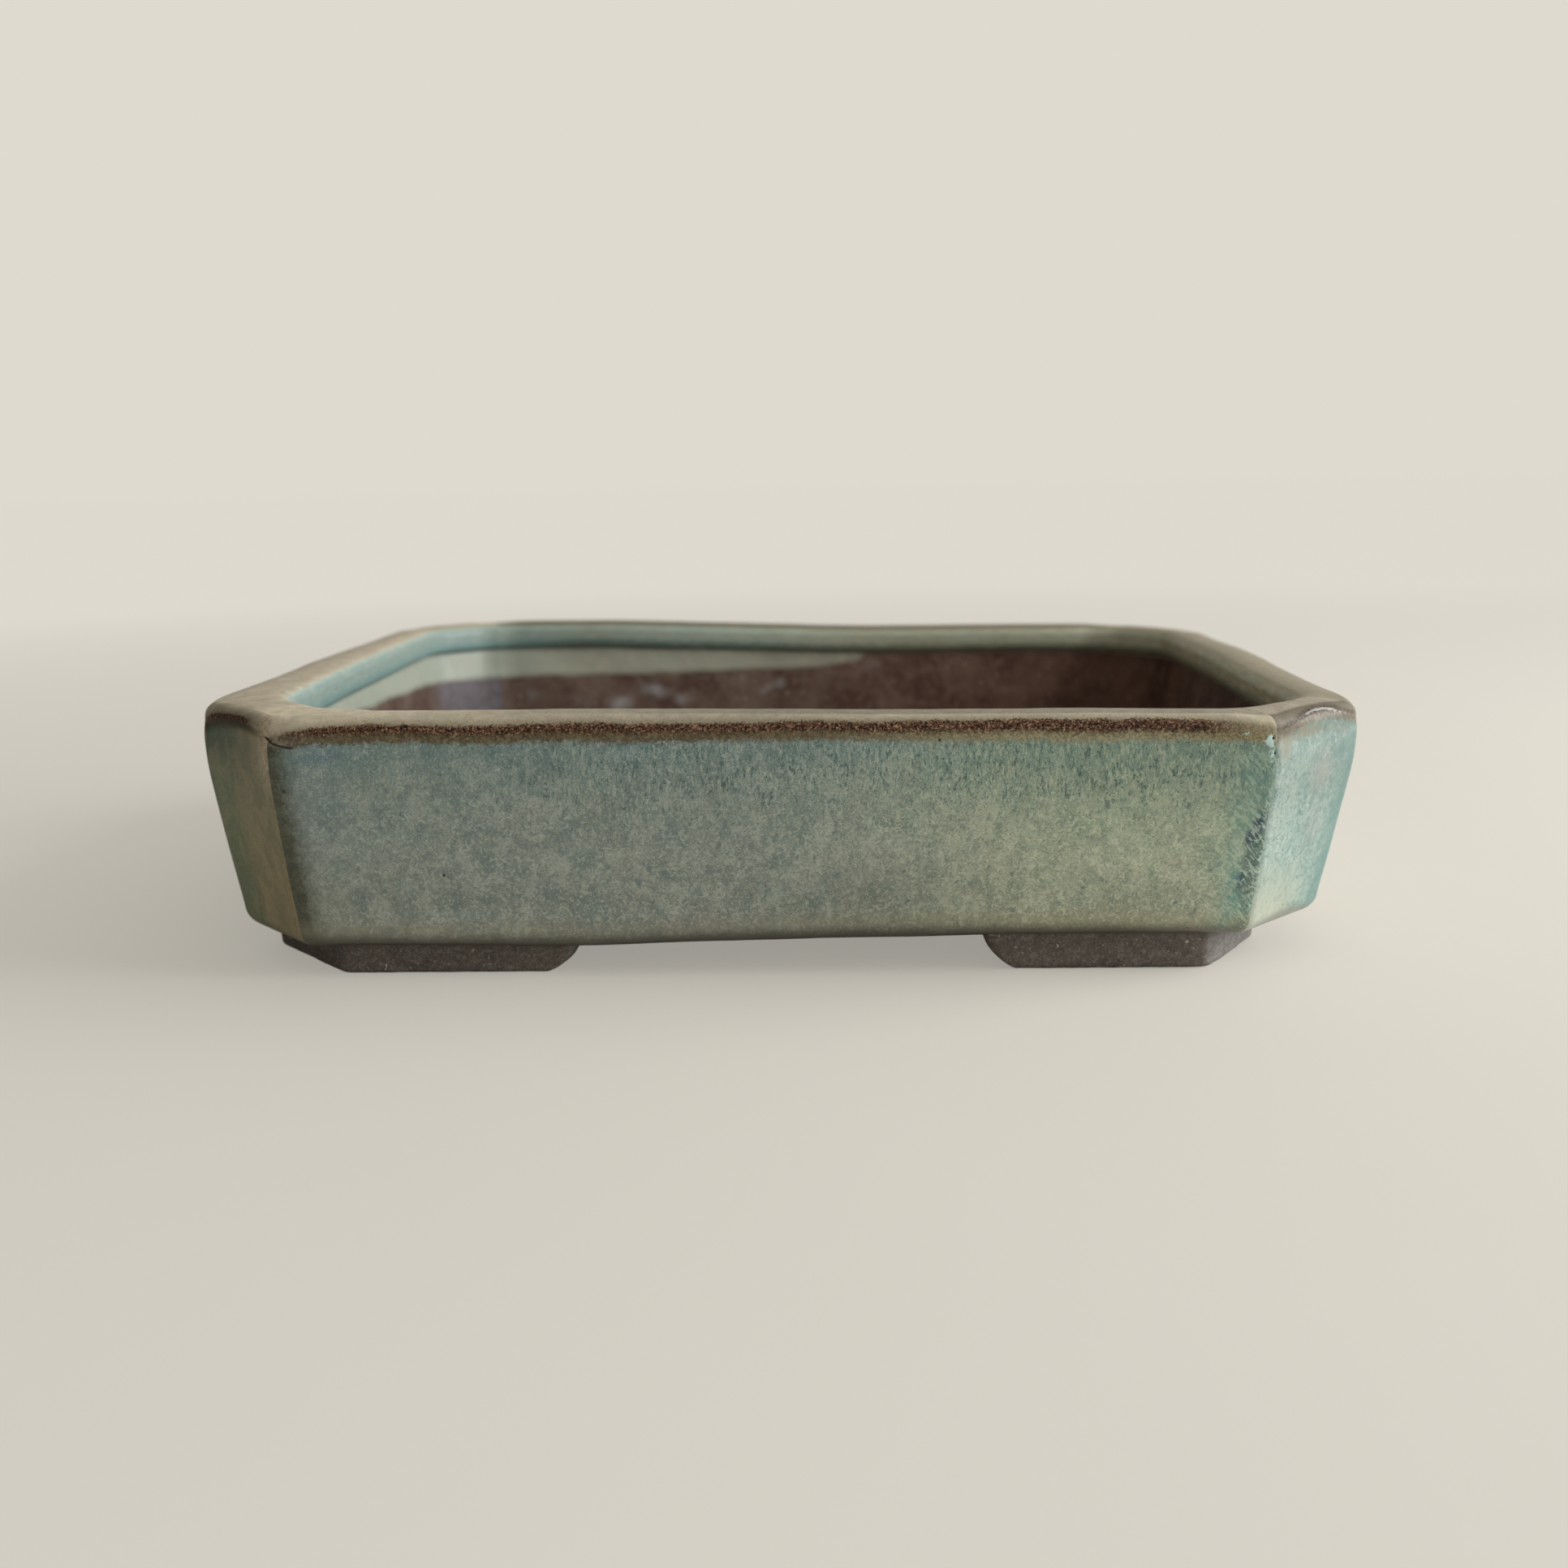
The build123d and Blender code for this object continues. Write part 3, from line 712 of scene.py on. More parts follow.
def mul(first, *others):
    for value in others:
        first = calc("MULTIPLY", first, value)
    return first


def add(first, *others):
    for value in others:
        first = calc("ADD", first, value)
    return first


def invert(value):
    return calc("SUBTRACT", 1.0, value)


def swing(field, amount):
    """A noise field centred on zero and scaled."""
    return mul(calc("SUBTRACT", field, 0.5), amount)


def line(value, low, high, at_low, at_high, kind="LINEAR"):
    """Clamped ramp from at_low, where the value is low, to at_high."""
    return node("MapRange", {"Value": value, "From Min": low, "From Max": high,
                             "To Min": at_low, "To Max": at_high},
                interpolation_type=kind, clamp=True).outputs[0]


def above(value, low, high):
    """Smooth mask, 0 below `low` and 1 above `high`."""
    return line(value, low, high, 0.0, 1.0, "SMOOTHSTEP")


def below(value, low, high):
    return invert(above(value, low, high))


def vein(field, low, high):
    """Mask of thin lines where a noise field crosses its middle."""
    return below(calc("ABSOLUTE", calc("SUBTRACT", field, 0.5)), low, high)


def mix(share, first, second, mode="MIX"):
    return node("Mix", {0: share, 6: first, 7: second}, data_type="RGBA", blend_type=mode,
                clamp_factor=True).outputs[2]


def mix_value(share, first, second):
    return node("Mix", {0: share, 2: first, 3: second}, data_type="FLOAT",
                clamp_factor=True).outputs[0]


def cover(base, colour, *amounts):
    """Lay a colour over a base, as strongly as the product of the amounts."""
    return mix(mul(*amounts), base, colour)


def ramp(value, stops, low, high):
    """Colour ramp; stops are (value, colour) with values between low and high."""
    added = node("ValToRGB", {0: line(value, low, high, 0.0, 1.0)})
    elements = added.color_ramp.elements
    added.color_ramp.interpolation = "LINEAR"
    while len(elements) > 1:
        elements.remove(elements[-1])
    for i, (stop, colour) in enumerate(stops):
        position = (stop - low) / (high - low)
        element = elements[0] if i == 0 else elements.new(position)
        element.position = position
        element.color = colour
    return added.outputs[0]


def bump(height, distance_mm, strength):
    return node("Bump", {"Strength": strength, "Distance": distance_mm * 0.001,
                         "Height": height}).outputs[0]


def principled(inputs):
    return node("BsdfPrincipled", inputs).outputs[0]


def output(shader, kind="OutputMaterial"):
    node(kind, {"Surface": shader})


# ============================================================== clay materials
def clay_nodes(place, gain=1.0):
    """Bare stoneware, red-brown to grey-brown with pale grog: colour and height."""
    big = noise(place, 11.0, 3, 0.55)
    mid = noise(place, 2.2, 4, 0.6, 0.4)
    fine = noise(place, 0.45, 3, 0.65)
    clay = mix(above(big, 0.35, 0.68), srgb(66, 46, 37, 1.55 * gain), srgb(92, 76, 66, 1.5 * gain))
    clay = cover(clay, srgb(104, 90, 80, 1.5 * gain), above(mid, 0.42, 0.68), 0.55)
    clay = cover(clay, srgb(44, 31, 25, 1.4 * gain), above(fine, 0.52, 0.75), 0.5)
    # grog: a dot in some of the cells
    cells = node("TexVoronoi", {"Vector": place, "Scale": 1.0 / 1.9})
    cell_value = node("SeparateColor", {0: cells.outputs["Color"]}).outputs[0]
    grog = mul(below(cells.outputs["Distance"], 0.06, 0.17), above(cell_value, 0.70, 0.74))
    clay = cover(clay, srgb(176, 166, 152, 1.2 * gain), grog, 0.75)
    return clay, add(mul(mid, 0.8), mul(fine, 0.5), mul(grog, 0.4))


def clay_material(name, gain, tint, tint_amount, bump_mm, wear_and_side_light=0.0):
    material = new_material(name)
    place = object_mm()
    clay, height = clay_nodes(place, gain)
    clay = mix(tint_amount, clay, tint)
    scuff = noise(place, 1.3, 3, 0.65, 0.6, stretch=(1.0, 1.0, 1.4))
    grit = noise(place, 0.33, 2, 0.7, 0.3)
    chip = noise(place, 0.9, 2, 0.5, 0.8, shift=(4.0, 9.0, 2.0))
    # light and dark scuffs, light and dark grit, pale chips
    for mask, amount, colour in (
            (above(scuff, 0.50, 0.68), 0.34, srgb(120, 116, 112, 1.5)),
            (below(scuff, 0.32, 0.46), 0.30, srgb(52, 46, 42, 1.3)),
            (above(grit, 0.54, 0.68), 0.42, srgb(136, 132, 124, 1.5)),
            (below(grit, 0.32, 0.46), 0.40, srgb(40, 34, 30, 1.2)),
            (above(chip, 0.69, 0.74), 0.8, srgb(178, 172, 160, 1.4))):
        clay = cover(clay, colour, mask, amount * wear_and_side_light)
    if wear_and_side_light:
        # painted light: faces turned to the front right are painted a lighter grey, for the side
        # light on them
        normal = node("NewGeometry").outputs["True Normal"]
        facing = vector("DOT_PRODUCT", normal, (0.7071, -0.7071, 0.0), "Value")
        side_lit_grey = mix(above(scuff, 0.40, 0.62), srgb(110, 109, 108, 0.95), srgb(130, 129, 127, 1.0))
        clay = cover(clay, side_lit_grey, above(facing, 0.80, 0.97), 0.75)
    fine = noise(place, 0.22, 2, 0.6)
    clay = cover(clay, srgb(150, 142, 130, gain), above(fine, 0.60, 0.78), 0.35)
    output(principled({
        "Base Color": clay, "Roughness": line(fine, 0.3, 0.7, 0.62, 0.86),
        "Specular IOR Level": 0.35, "Normal": bump(add(height, mul(fine, 0.3)), bump_mm, 0.9)}))
    return material


# ============================================================== glaze material
# size in mm, detail, roughness, distortion, shift, stretch
GLAZE_NOISES = {
    "big": (7.5, 3, 0.55, 0.4),
    "mid": (2.4, 3, 0.6, 0.6),
    "small": (0.85, 3, 0.62, 1.1),
    "tiny": (0.32, 2, 0.6, 0.4),
    "run": (0.46, 3, 0.62, 1.1, None, (1.0, 1.0, 0.36)),
    "long_run": (1.9, 2, 0.55, 0.4, None, (1.0, 1.0, 0.30)),
    "blot": (3.4, 3, 0.62, 0.9, (31.0, 7.0, 3.0), (1.0, 1.0, 0.72)),
    "hue": (5.2, 3, 0.6, 0.5, (5.0, 40.0, 9.0)),
    "net": (0.95, 2, 0.55, 1.8),
    "fine_net": (0.55, 2, 0.55, 1.2, (9.0, 3.0, 20.0)),
    "spot": (1.5, 1, 0.4, 0.4, (60.0, 1.0, 8.0)),
    "grain": (0.24, 2, 0.7, 0.0),
    "speck": (0.34, 3, 0.75, 0.6),
}
# wall glaze by depth below the lip's top: depth, left of the front, right of the front. The right
# column is yellower glaze and also brighter as painted light, the front being lit more towards its
# right end.
WALL_TONES = [
    (3.0, (90, 108, 104, .78), (90, 114, 98, .92)),
    (5.5, (94, 111, 104, .78), (100, 120, 103, .92)),
    (9.0, (103, 115, 105, .78), (112, 127, 109, .92)),
    (14.5, (111, 118, 107, .78), (129, 137, 115, .92)),
    (21.0, (116, 120, 109, .78), (136, 140, 117, .92)),
    (27.5, (110, 113, 101, .80), (132, 134, 112, .92)),
    (32.0, (104, 104, 92, .80), (112, 111, 91, .92)),
]


# In the colour functions below, `field` holds noise fields and `at` the glaze maps.
def wall_colour(field, at):
    """Wall glaze: depth ramps, hue drifts, mottle, threads, ticks and grain."""
    def tint(west, east):
        return mix(at.east, glaze(*west), glaze(*east))

    west, east = (ramp(field.depth, [(row[0], glaze(*row[i])) for row in WALL_TONES], 0.0, 40.0)
                  for i in (1, 2))
    wall = mix(at.east, west, east)
    # drifts of hue
    wall = cover(wall, tint((122, 121, 107, .80), (142, 139, 114, .95)),
                 above(field.hue, 0.52, 0.70), 0.50)
    wall = cover(wall, tint((88, 112, 102, .80), (96, 122, 104, .90)),
                 above(field.big, 0.52, 0.72), 0.45, below(at.t_out, 18, 32))
    wall = cover(wall, tint((94, 110, 103, .80), (112, 124, 104, .92)),
                 below(field.hue, 0.30, 0.46), 0.40)
    wall = cover(wall, glaze(84, 104, 112, .80), at.blue, 0.60)

    # dark and light blots, then dark pits and pale spots drawn into runs near the top
    calm = invert(mul(at.soft, 0.7))
    runs = field.runs
    wall = cover(wall, tint((74, 90, 84, .78), (98, 108, 92, .90)),
                 below(field.blot, 0.36, 0.50), calm,
                 mix_value(runs, line(at.east, 0.0, 1.0, 0.46, 0.38), 0.34))
    wall = cover(wall, tint((140, 143, 130, .80), (154, 156, 132, .95)),
                 above(field.blot, 0.52, 0.66), calm,
                 line(at.east, 0.0, 1.0, 0.42, 0.32), mix_value(runs, 1.0, 0.6))
    pits = mix(runs, tint((86, 99, 92, .80), (100, 110, 94, .92)), glaze(44, 74, 70, .85))
    wall = cover(wall, pits, below(field.mottle, 0.39, 0.47), mix_value(runs, 0.60, 0.95), calm)
    wall = cover(wall, tint((142, 148, 132, .82), (160, 163, 136, .97)),
                 above(field.mottle, 0.53, 0.61), mix_value(runs, 0.58, 0.66), calm)
    # two nets of pale threads
    wall = cover(wall, tint((150, 152, 134, .85), (168, 167, 142)),
                 vein(field.net, 0.006, 0.040), above(field.mid, 0.38, 0.60),
                 line(at.xn, -0.7, 0.3, 0.18, 0.9), mix_value(at.east, 0.55, 0.42), calm)
    wall = cover(wall, tint((156, 160, 146, .85), (166, 169, 146)),
                 vein(field.fine_net, 0.004, 0.03), above(field.blot, 0.45, 0.62),
                 mix_value(at.east, 0.45, 0.32))
    # dark ticks and spots, a darker top, and fine grain
    wall = cover(wall, glaze(40, 66, 64, .85), below(field.run, 0.31, 0.40),
                 calc("MAXIMUM", mul(above(field.big, 0.44, 0.60), 0.6), runs), calm, 0.62)
    wall = cover(wall, glaze(66, 88, 84, .85), above(field.spot, 0.70, 0.76), 0.65)
    wall = cover(wall, tint((72, 98, 92, .80), (80, 112, 96, .86)),
                 below(field.depth, 5.5, 12.5), line(at.xn, -0.8, -0.5, 0.55, 1.0), 0.18)
    grainy = line(at.xn, -0.7, 0.2, 0.34, 0.46)
    wall = cover(wall, glaze(156, 160, 146, .88), above(field.grain, 0.52, 0.70), grainy)
    wall = cover(wall, glaze(66, 76, 70, .85), below(field.grain, 0.30, 0.48), grainy)
    balance = mix(at.east, (0.97, 1.01, 1.11, 1.0), (0.875, 0.93, 1.0, 1.0))
    return mix(1.0, wall, balance, "MULTIPLY")


def right_corner_colour(place, field, at):
    """Pale celadon with hair-fine upright streaks."""
    hair = noise(place, 0.42, 2, 0.6, 0.15, stretch=(1.0, 1.0, 0.11))
    patchy = line(at.cream, 0.0, 0.8, 1.0, 0.35)
    corner = mix(above(field.hue, 0.36, 0.64), glaze(108, 142, 134), glaze(136, 160, 148))
    corner = cover(corner, glaze(150, 170, 160), above(field.blot, 0.50, 0.62), 0.6)
    corner = cover(corner, glaze(88, 128, 124), below(field.blot, 0.36, 0.46),
                   line(at.frac, 0.15, 0.6, 0.2, 0.7))
    corner = cover(corner, glaze(150, 168, 154), below(at.frac, 0.12, 0.58),
                   above(at.t_out, 4.0, 12.0), 0.75)
    corner = cover(corner, glaze(88, 124, 118), below(at.t_out, 4.0, 11.0),
                   above(at.frac, 0.25, 0.7), 0.55)
    corner = cover(corner, glaze(176, 178, 158), at.cream, 0.85)
    corner = cover(corner, glaze(180, 192, 178), above(hair, 0.52, 0.70),
                   line(at.frac, 0.2, 0.7, 0.45, 0.12))
    corner = cover(corner, glaze(100, 130, 122), below(hair, 0.30, 0.48),
                   line(at.frac, 0.2, 0.8, 0.30, 0.12))
    corner = cover(corner, glaze(80, 118, 114), below(field.small, 0.37, 0.46), 0.70, patchy)
    corner = cover(corner, glaze(174, 190, 178), above(field.small, 0.55, 0.64), 0.60, patchy)
    corner = cover(corner, glaze(172, 188, 178), vein(field.net, 0.008, 0.035),
                   above(field.mid, 0.44, 0.60), 0.55, patchy)
    corner = cover(corner, glaze(158, 152, 140), at.blush)
    corner = cover(corner, glaze(80, 110, 104), above(field.spot, 0.69, 0.75), 0.50)
    corner = cover(corner, glaze(92, 126, 120), above(at.frac, 0.62, 1.0), invert(at.cream), 0.60)
    return mix(1.0, corner, (1.0, 1.03, 1.08, 1.0), "MULTIPLY")


def left_corner_colour(place, field, at):
    """Olive, with soft upright streaks."""
    streak = noise(place, 1.1, 2, 0.6, 0.3, stretch=(1.0, 1.0, 0.16))
    corner = mix(above(at.frac, 0.30, 0.72), glaze(82, 92, 70), glaze(104, 98, 78))
    corner = cover(corner, glaze(114, 102, 76), above(at.t_out, 12, 26), above(at.frac, 0.2, 0.6))
    corner = cover(corner, glaze(78, 88, 70), above(streak, 0.5, 0.7), 0.25)
    corner = cover(corner, glaze(124, 118, 94), above(field.small, 0.50, 0.62), 0.30)
    corner = cover(corner, glaze(62, 68, 50), below(field.small, 0.38, 0.48), 0.32)
    corner = cover(corner, glaze(52, 66, 50), below(at.t_out, 4.5, 10.0),
                   below(at.frac, 0.25, 0.8))
    corner = cover(corner, glaze(126, 116, 90), above(field.blot, 0.50, 0.60), 0.26)
    corner = cover(corner, glaze(62, 76, 58), below(field.blot, 0.40, 0.50), 0.30)
    corner = cover(corner, glaze(136, 132, 108), above(field.grain, 0.52, 0.66), 0.26)
    return cover(corner, glaze(58, 62, 46), below(field.grain, 0.34, 0.48), 0.26)


def pooled_colour(wall, place, field, at):
    """Pooled glaze beside the arrises: turquoise, dark, navy, olive, pale and rusty."""
    sheared = node("VectorRotate", {"Vector": place, "Angle": 0.62}, rotation_type="Y_AXIS")
    stroke = noise(sheared.outputs[0], 0.42, 2, 0.5, 0.8, stretch=(1.0, 1.0, 0.26))
    wall = cover(wall, mix(at.facet_r, glaze(78, 112, 104, .92), glaze(84, 128, 128)), at.turq,
                 line(field.blot, 0.36, 0.62, 1.0, 0.45),
                 line(field.small, 0.36, 0.62, 1.0, 0.55), 0.95)
    wall = cover(wall, glaze(48, 72, 70, .92), above(at.dark, 0.10, 0.80),
                 line(field.small, 0.34, 0.62, 1.0, 0.50))
    wall = cover(wall, glaze(32, 46, 66, .95), above(at.navy, 0.15, 0.75),
                 line(field.small, 0.34, 0.64, 1.0, 0.6))
    fringe = mul(above(at.turq, 0.15, 0.6), invert(at.facet), 0.7)
    wall = cover(wall, glaze(140, 160, 146, .95), calc("MAXIMUM", above(at.dark, 0.05, 0.5), fringe),
                 above(stroke, 0.50, 0.60), 0.62)
    olive = mix(above(field.small, 0.38, 0.62), glaze(46, 49, 36, .76), glaze(62, 66, 50, .78))
    wall = cover(wall, olive, at.olive, line(field.mid, 0.34, 0.60, 1.0, 0.82),
                 line(field.small, 0.36, 0.62, 1.0, 0.88))
    wall = cover(wall, glaze(150, 138, 112), at.pale, 0.85)
    return cover(wall, glaze(138, 124, 98), at.rusty, line(field.small, 0.35, 0.6, 0.45, 1.0))


def beige_colour(field, at):
    """Dry pale glaze on the lip's top."""
    beige = mix(above(field.mid, 0.35, 0.68), glaze(144, 136, 119, 0.86), glaze(162, 152, 134, 0.86))
    beige = cover(beige, glaze(146, 144, 122, 0.86), above(field.hue, 0.50, 0.70), 0.45)
    beige = cover(beige, glaze(124, 120, 104, 0.86), above(field.tiny, 0.54, 0.72), 0.40)
    beige = cover(beige, glaze(120, 112, 94, 0.86), below(field.small, 0.36, 0.48), 0.30)
    return cover(beige, glaze(114, 108, 78, 0.82), at.ridge, line(field.mid, 0.3, 0.7, 0.55, 0.95))


def ochre_colour(field, at):
    """Ochre between the lip's dark line and the wall glaze."""
    speck = field.speck
    ochre = mix(above(field.small, 0.38, 0.66), glaze(76, 66, 46, .62), glaze(104, 95, 72, .66))
    ochre = cover(ochre, glaze(142, 134, 108, .7), above(speck, 0.58, 0.68), 0.45)
    ochre = cover(ochre, glaze(58, 48, 32, .6), below(speck, 0.34, 0.46), 0.35)
    # towards the right the ochre is paler, partly as painted light
    east = mix(above(speck, 0.40, 0.60), glaze(106, 104, 80, .86), glaze(148, 144, 116, .94))
    ochre = cover(ochre, east, at.east, 0.72)
    gold = mix(above(speck, 0.42, 0.60), glaze(84, 76, 48, .88), glaze(124, 116, 84, .92))
    return cover(ochre, gold, at.gold, line(field.small, 0.35, 0.65, 0.55, 0.95))


def outside_colour(wall, beige, field, at):
    """Down the outside: pale top, dark speckled line, ochre, wall glaze, dark foot line."""
    small, speck, rim_depth = field.small, field.speck, field.rim_depth
    brown = mix(above(speck, 0.44, 0.55), glaze(24, 10, 4, .60), glaze(94, 64, 46, .74))
    brown = cover(brown, glaze(142, 120, 96, .82), above(speck, 0.56, 0.63), 0.85)
    ochre = ochre_colour(field, at)
    rust = mix(0.5, ochre, scaled(beige, (.7, .68, .64)))
    line_depth = calc("SUBTRACT", rim_depth, at.droop)
    colour = mix(above(line_depth, 0.1, 0.9), beige, scaled(beige, (.74, .73, .70)))
    colour = cover(colour, rust, above(line_depth, 0.80, 1.20))
    colour = cover(colour, brown, above(line_depth, 0.95, 1.40), at.band)
    colour = cover(colour, ochre, above(rim_depth, 2.15, 3.35), invert(at.facet))
    taupe = mix(above(small, 0.38, 0.64), glaze(112, 104, 90), glaze(140, 132, 116))
    taupe = mix(at.facet_l, taupe, glaze(56, 52, 42))
    colour = cover(colour, taupe, above(rim_depth, 1.65, 2.10), at.facet)
    colour = cover(colour, wall, above(rim_depth, 2.4, 3.6), at.facet)
    colour = cover(colour, wall, above(add(rim_depth, swing(small, 1.6)), 3.60, 4.50),
                   invert(at.facet))
    # smear and rolled beige by the arrises; painted glints (highlights) there and one white glaze
    # crystal on the front
    mud = mix(above(small, .4, .62), glaze(70, 62, 52, .8), glaze(104, 96, 82, .85))
    colour = cover(colour, mud, at.muddy, 0.75)
    rolled = mix(above(small, .38, .62), glaze(120, 108, 92, .85), glaze(146, 134, 116, .85))
    colour = cover(colour, rolled, at.roll, 0.88)
    glint = mix(at.facet, glaze(168, 196, 200, .92), glaze(200, 216, 222, 1.45))
    colour = cover(colour, glint, above(add(at.glint, swing(small, 1.6)), 0.30, 0.8), 0.9)
    # khaki, then a thin dark grey-brown line at the foot of the wall
    khaki = mix(at.east, glaze(104, 100, 84, .78), glaze(112, 106, 82, .85))
    colour = cover(colour, khaki, above(rim_depth, 29.5, 31.8), invert(at.facet), 0.40)
    return cover(colour, glaze(60, 57, 48, .7), above(rim_depth, 32.2, 34.4),
                 invert(mul(at.facet, 0.5)), 0.85)


def inside_colour(beige, lip_run, edge, place, field, at):
    """Lip inner face, groove and glazed band, down to the edge of the bare clay."""
    def glow(dull, bright):
        return mix(at.lipglow, glaze(*dull), glaze(*bright))

    drawn = noise(place, 0.55, 3, 0.6, 0.3, stretch=(0.16, 0.16, 1.0))
    lip = glow((106, 103, 86), (138, 158, 152, 0.95))
    lip = cover(lip, glow((112, 120, 104), (112, 146, 142)), above(field.blot, 0.5, 0.66), 0.45)
    lip = cover(lip, glow((92, 88, 66), (150, 156, 140)), below(field.hue, 0.36, 0.50), 0.35)
    lip = cover(lip, glow((132, 128, 104), (160, 172, 162)), above(drawn, 0.50, 0.66), 0.40)
    lip = cover(lip, glow((84, 88, 74), (112, 138, 134)), below(drawn, 0.36, 0.48), 0.35)
    # the groove's dark teal is pooled glaze, made darker still as painted shade under the lip's
    # overhang
    groove = ramp(at.lipglow, [(0.12, glaze(78, 80, 66)), (0.55, glaze(72, 92, 88)),
                               (1.0, glaze(112, 144, 142))], 0.0, 1.0)
    groove = cover(groove, glow((98, 104, 88), (140, 160, 154)), above(drawn, 0.50, 0.64), 0.40)
    glazed = glow((108, 104, 90), (138, 146, 134, 0.85))
    glazed = cover(glazed, glow((96, 98, 86), (150, 154, 142, .85)),
                   above(field.big, 0.45, 0.7), 0.4)
    glazed = cover(glazed, glaze(140, 132, 114), above(field.mid, 0.50, 0.68), 0.40)
    colour = mix(above(lip_run, 0.3, 1.5), beige, lip)
    colour = cover(colour, groove, above(lip_run, 3.6, 5.0), 0.95)
    colour = cover(colour, glazed, above(lip_run, 6.7, 7.7))
    return cover(colour, glaze(70, 58, 46, .8), above(edge, -0.9, -0.2), below(edge, 0.1, 0.9), 0.45)


def inner_clay(place, field, at):
    """Bare clay inside: redder to the right, a painted lavender sheen (reflection) back left,
    smeared with glaze.
    """
    clay, height = clay_nodes(place)
    clay = mix(above(at.xn, -0.35, 0.75), clay, scaled(clay, (0.92, 0.70, 0.60)))
    # painted reflection: the lavender sheen on the clay
    sheen = mix(above(field.mid, 0.4, 0.6), srgb(104, 100, 108, .95), srgb(122, 119, 130, .95))
    clay = cover(clay, sheen, at.sheen, 0.75)
    clay = cover(clay, glaze(128, 128, 128), above(at.smear, 0.18, 0.90),
                 line(field.small, 0.3, 0.7, 0.6, 1.0), 0.70)
    return clay, height


def glaze_material():
    material = new_material("glazed_stoneware")
    place = object_mm()
    # the khaki map is stored on the meshes, but does not drive the colour
    at = SimpleNamespace(**{name: node("Attribute", attribute_name=name).outputs["Fac"]
                            for name in MAP_NAMES if name != "khaki"})
    field = SimpleNamespace(**{name: noise(place, *values)
                               for name, values in GLAZE_NOISES.items()})
    small, tiny = field.small, field.tiny
    # depth below the lip's top, with a ragged edge: for the rim, and for the wall
    rag = add(swing(field.mid, 0.9), swing(tiny, 1.0))
    rim_depth = add(at.t_out, mul(rag, line(at.facet, 0.0, 1.0, 1.0, 0.40)))
    field.rim_depth = rim_depth
    field.depth = add(at.t_out, swing(field.big, 9.0), swing(field.long_run, 7.0))
    field.runs = mul(below(field.depth, 9.0, 19.0), line(at.xn, -0.75, -0.25, 0.35, 1.0))
    field.mottle = mix_value(mul(field.runs, 0.85), small, field.run)

    wall = mix(at.facet_r, wall_colour(field, at), right_corner_colour(place, field, at))
    wall = mix(at.facet_l, wall, left_corner_colour(place, field, at))
    wall = pooled_colour(wall, place, field, at)
    beige = beige_colour(field, at)
    colour = outside_colour(wall, beige, field, at)

    lip_run = add(at.s_in, swing(field.mid, 0.7), swing(tiny, 0.4))
    edge = add(at.clay_in, swing(field.mid, 0.28))
    inside_glaze = inside_colour(beige, lip_run, edge, place, field, at)
    clay, clay_height = inner_clay(place, field, at)
    bare = above(edge, -0.2, 0.35)
    inside = above(at.s_in, -0.4, 0.3)
    colour = mix(inside, colour, mix(bare, inside_glaze, clay))
    bare = calc("MAXIMUM", mul(bare, inside), at.under)
    colour = mix(at.under, colour, clay)

    # crack and pinholes, painted near-black as shade in these recesses, then the painted light and
    # shade of each region
    from_crack = calc("ABSOLUTE", add(at.crack_d, swing(small, 0.6)))
    colour = cover(colour, glaze(10, 7, 6), below(from_crack, 0.09, 0.26),
                   above(at.crack_on, 0.05, 0.5))
    for spot, radius in pinhole_spots():
        distance = add(vector("DISTANCE", place, spot, "Value"), swing(tiny, 0.3))
        colour = cover(colour, glaze(16, 15, 13), below(distance, radius * 0.55, radius * 1.05))
    # painted light and shade: each region's colour is scaled by its gain
    gain = node("CombineColor", {0: at.gain, 1: at.gain, 2: at.gain}).outputs[0]
    colour = mix(1.0, colour, gain, "MULTIPLY")

    # satin glaze, drier on the lip; the clay is dry and has no coat
    dry = mix_value(inside, below(rim_depth, 2.6, 4.2), below(lip_run, 0.2, 1.2))
    rough = mix_value(dry, line(small, 0.3, 0.7, 0.30, 0.42), line(tiny, 0.3, 0.7, 0.50, 0.66))
    rough = add(mix_value(bare, rough, 0.66), mul(inside, invert(bare), 0.18))
    coat = mix_value(dry, mix_value(inside, 0.50, 0.12), mix_value(inside, 0.07, 0.03))
    coat = mix_value(bare, coat, 0.0)
    height = add(mul(field.mottle, 0.6), mul(field.mid, 0.9), mul(tiny, 0.22))
    height = mix_value(bare, mul(height, 0.35), clay_height)
    output(principled({
        "Base Color": colour, "Roughness": rough,
        "Specular IOR Level": mul(mix_value(dry, 0.42, 0.22), line(at.facet_l, 0.5, 1.0, 1.0, 0.45)),
        "Coat Weight": mul(coat, line(at.facet_l, 0.5, 1.0, 1.0, 0.12)),
        "Coat Roughness": 0.14, "Coat IOR": 1.5, "Normal": bump(height, 0.10, 0.85)}))
    return material


GLAZE = glaze_material()
CLAY_FLOOR = clay_material("bare_stoneware_floor", gain=1.0, tint=srgb(88, 72, 62, 1.5),
                           tint_amount=0.25, bump_mm=0.16)
CLAY_FOOT = clay_material("bare_stoneware_foot", gain=1.05, tint=srgb(80, 79, 75, 1.5),
                          tint_amount=0.62, bump_mm=0.26, wear_and_side_light=1.0)

# ================================================================ wall and lip
SEAT_RISE, SEAT_DROP = 5.35, 0.05       # floor slab's seat above the underside, and its fall
LIP_ROWS = list(range(WALL_END, LIP_END + 1))
# outer wall, inner wall, then two hidden rows: under the cove's toe and over the underside
WALL_ROWS = list(range(WALL_END + 1)) + list(range(LIP_END, ROWS)) + [ROWS - 1, 0]


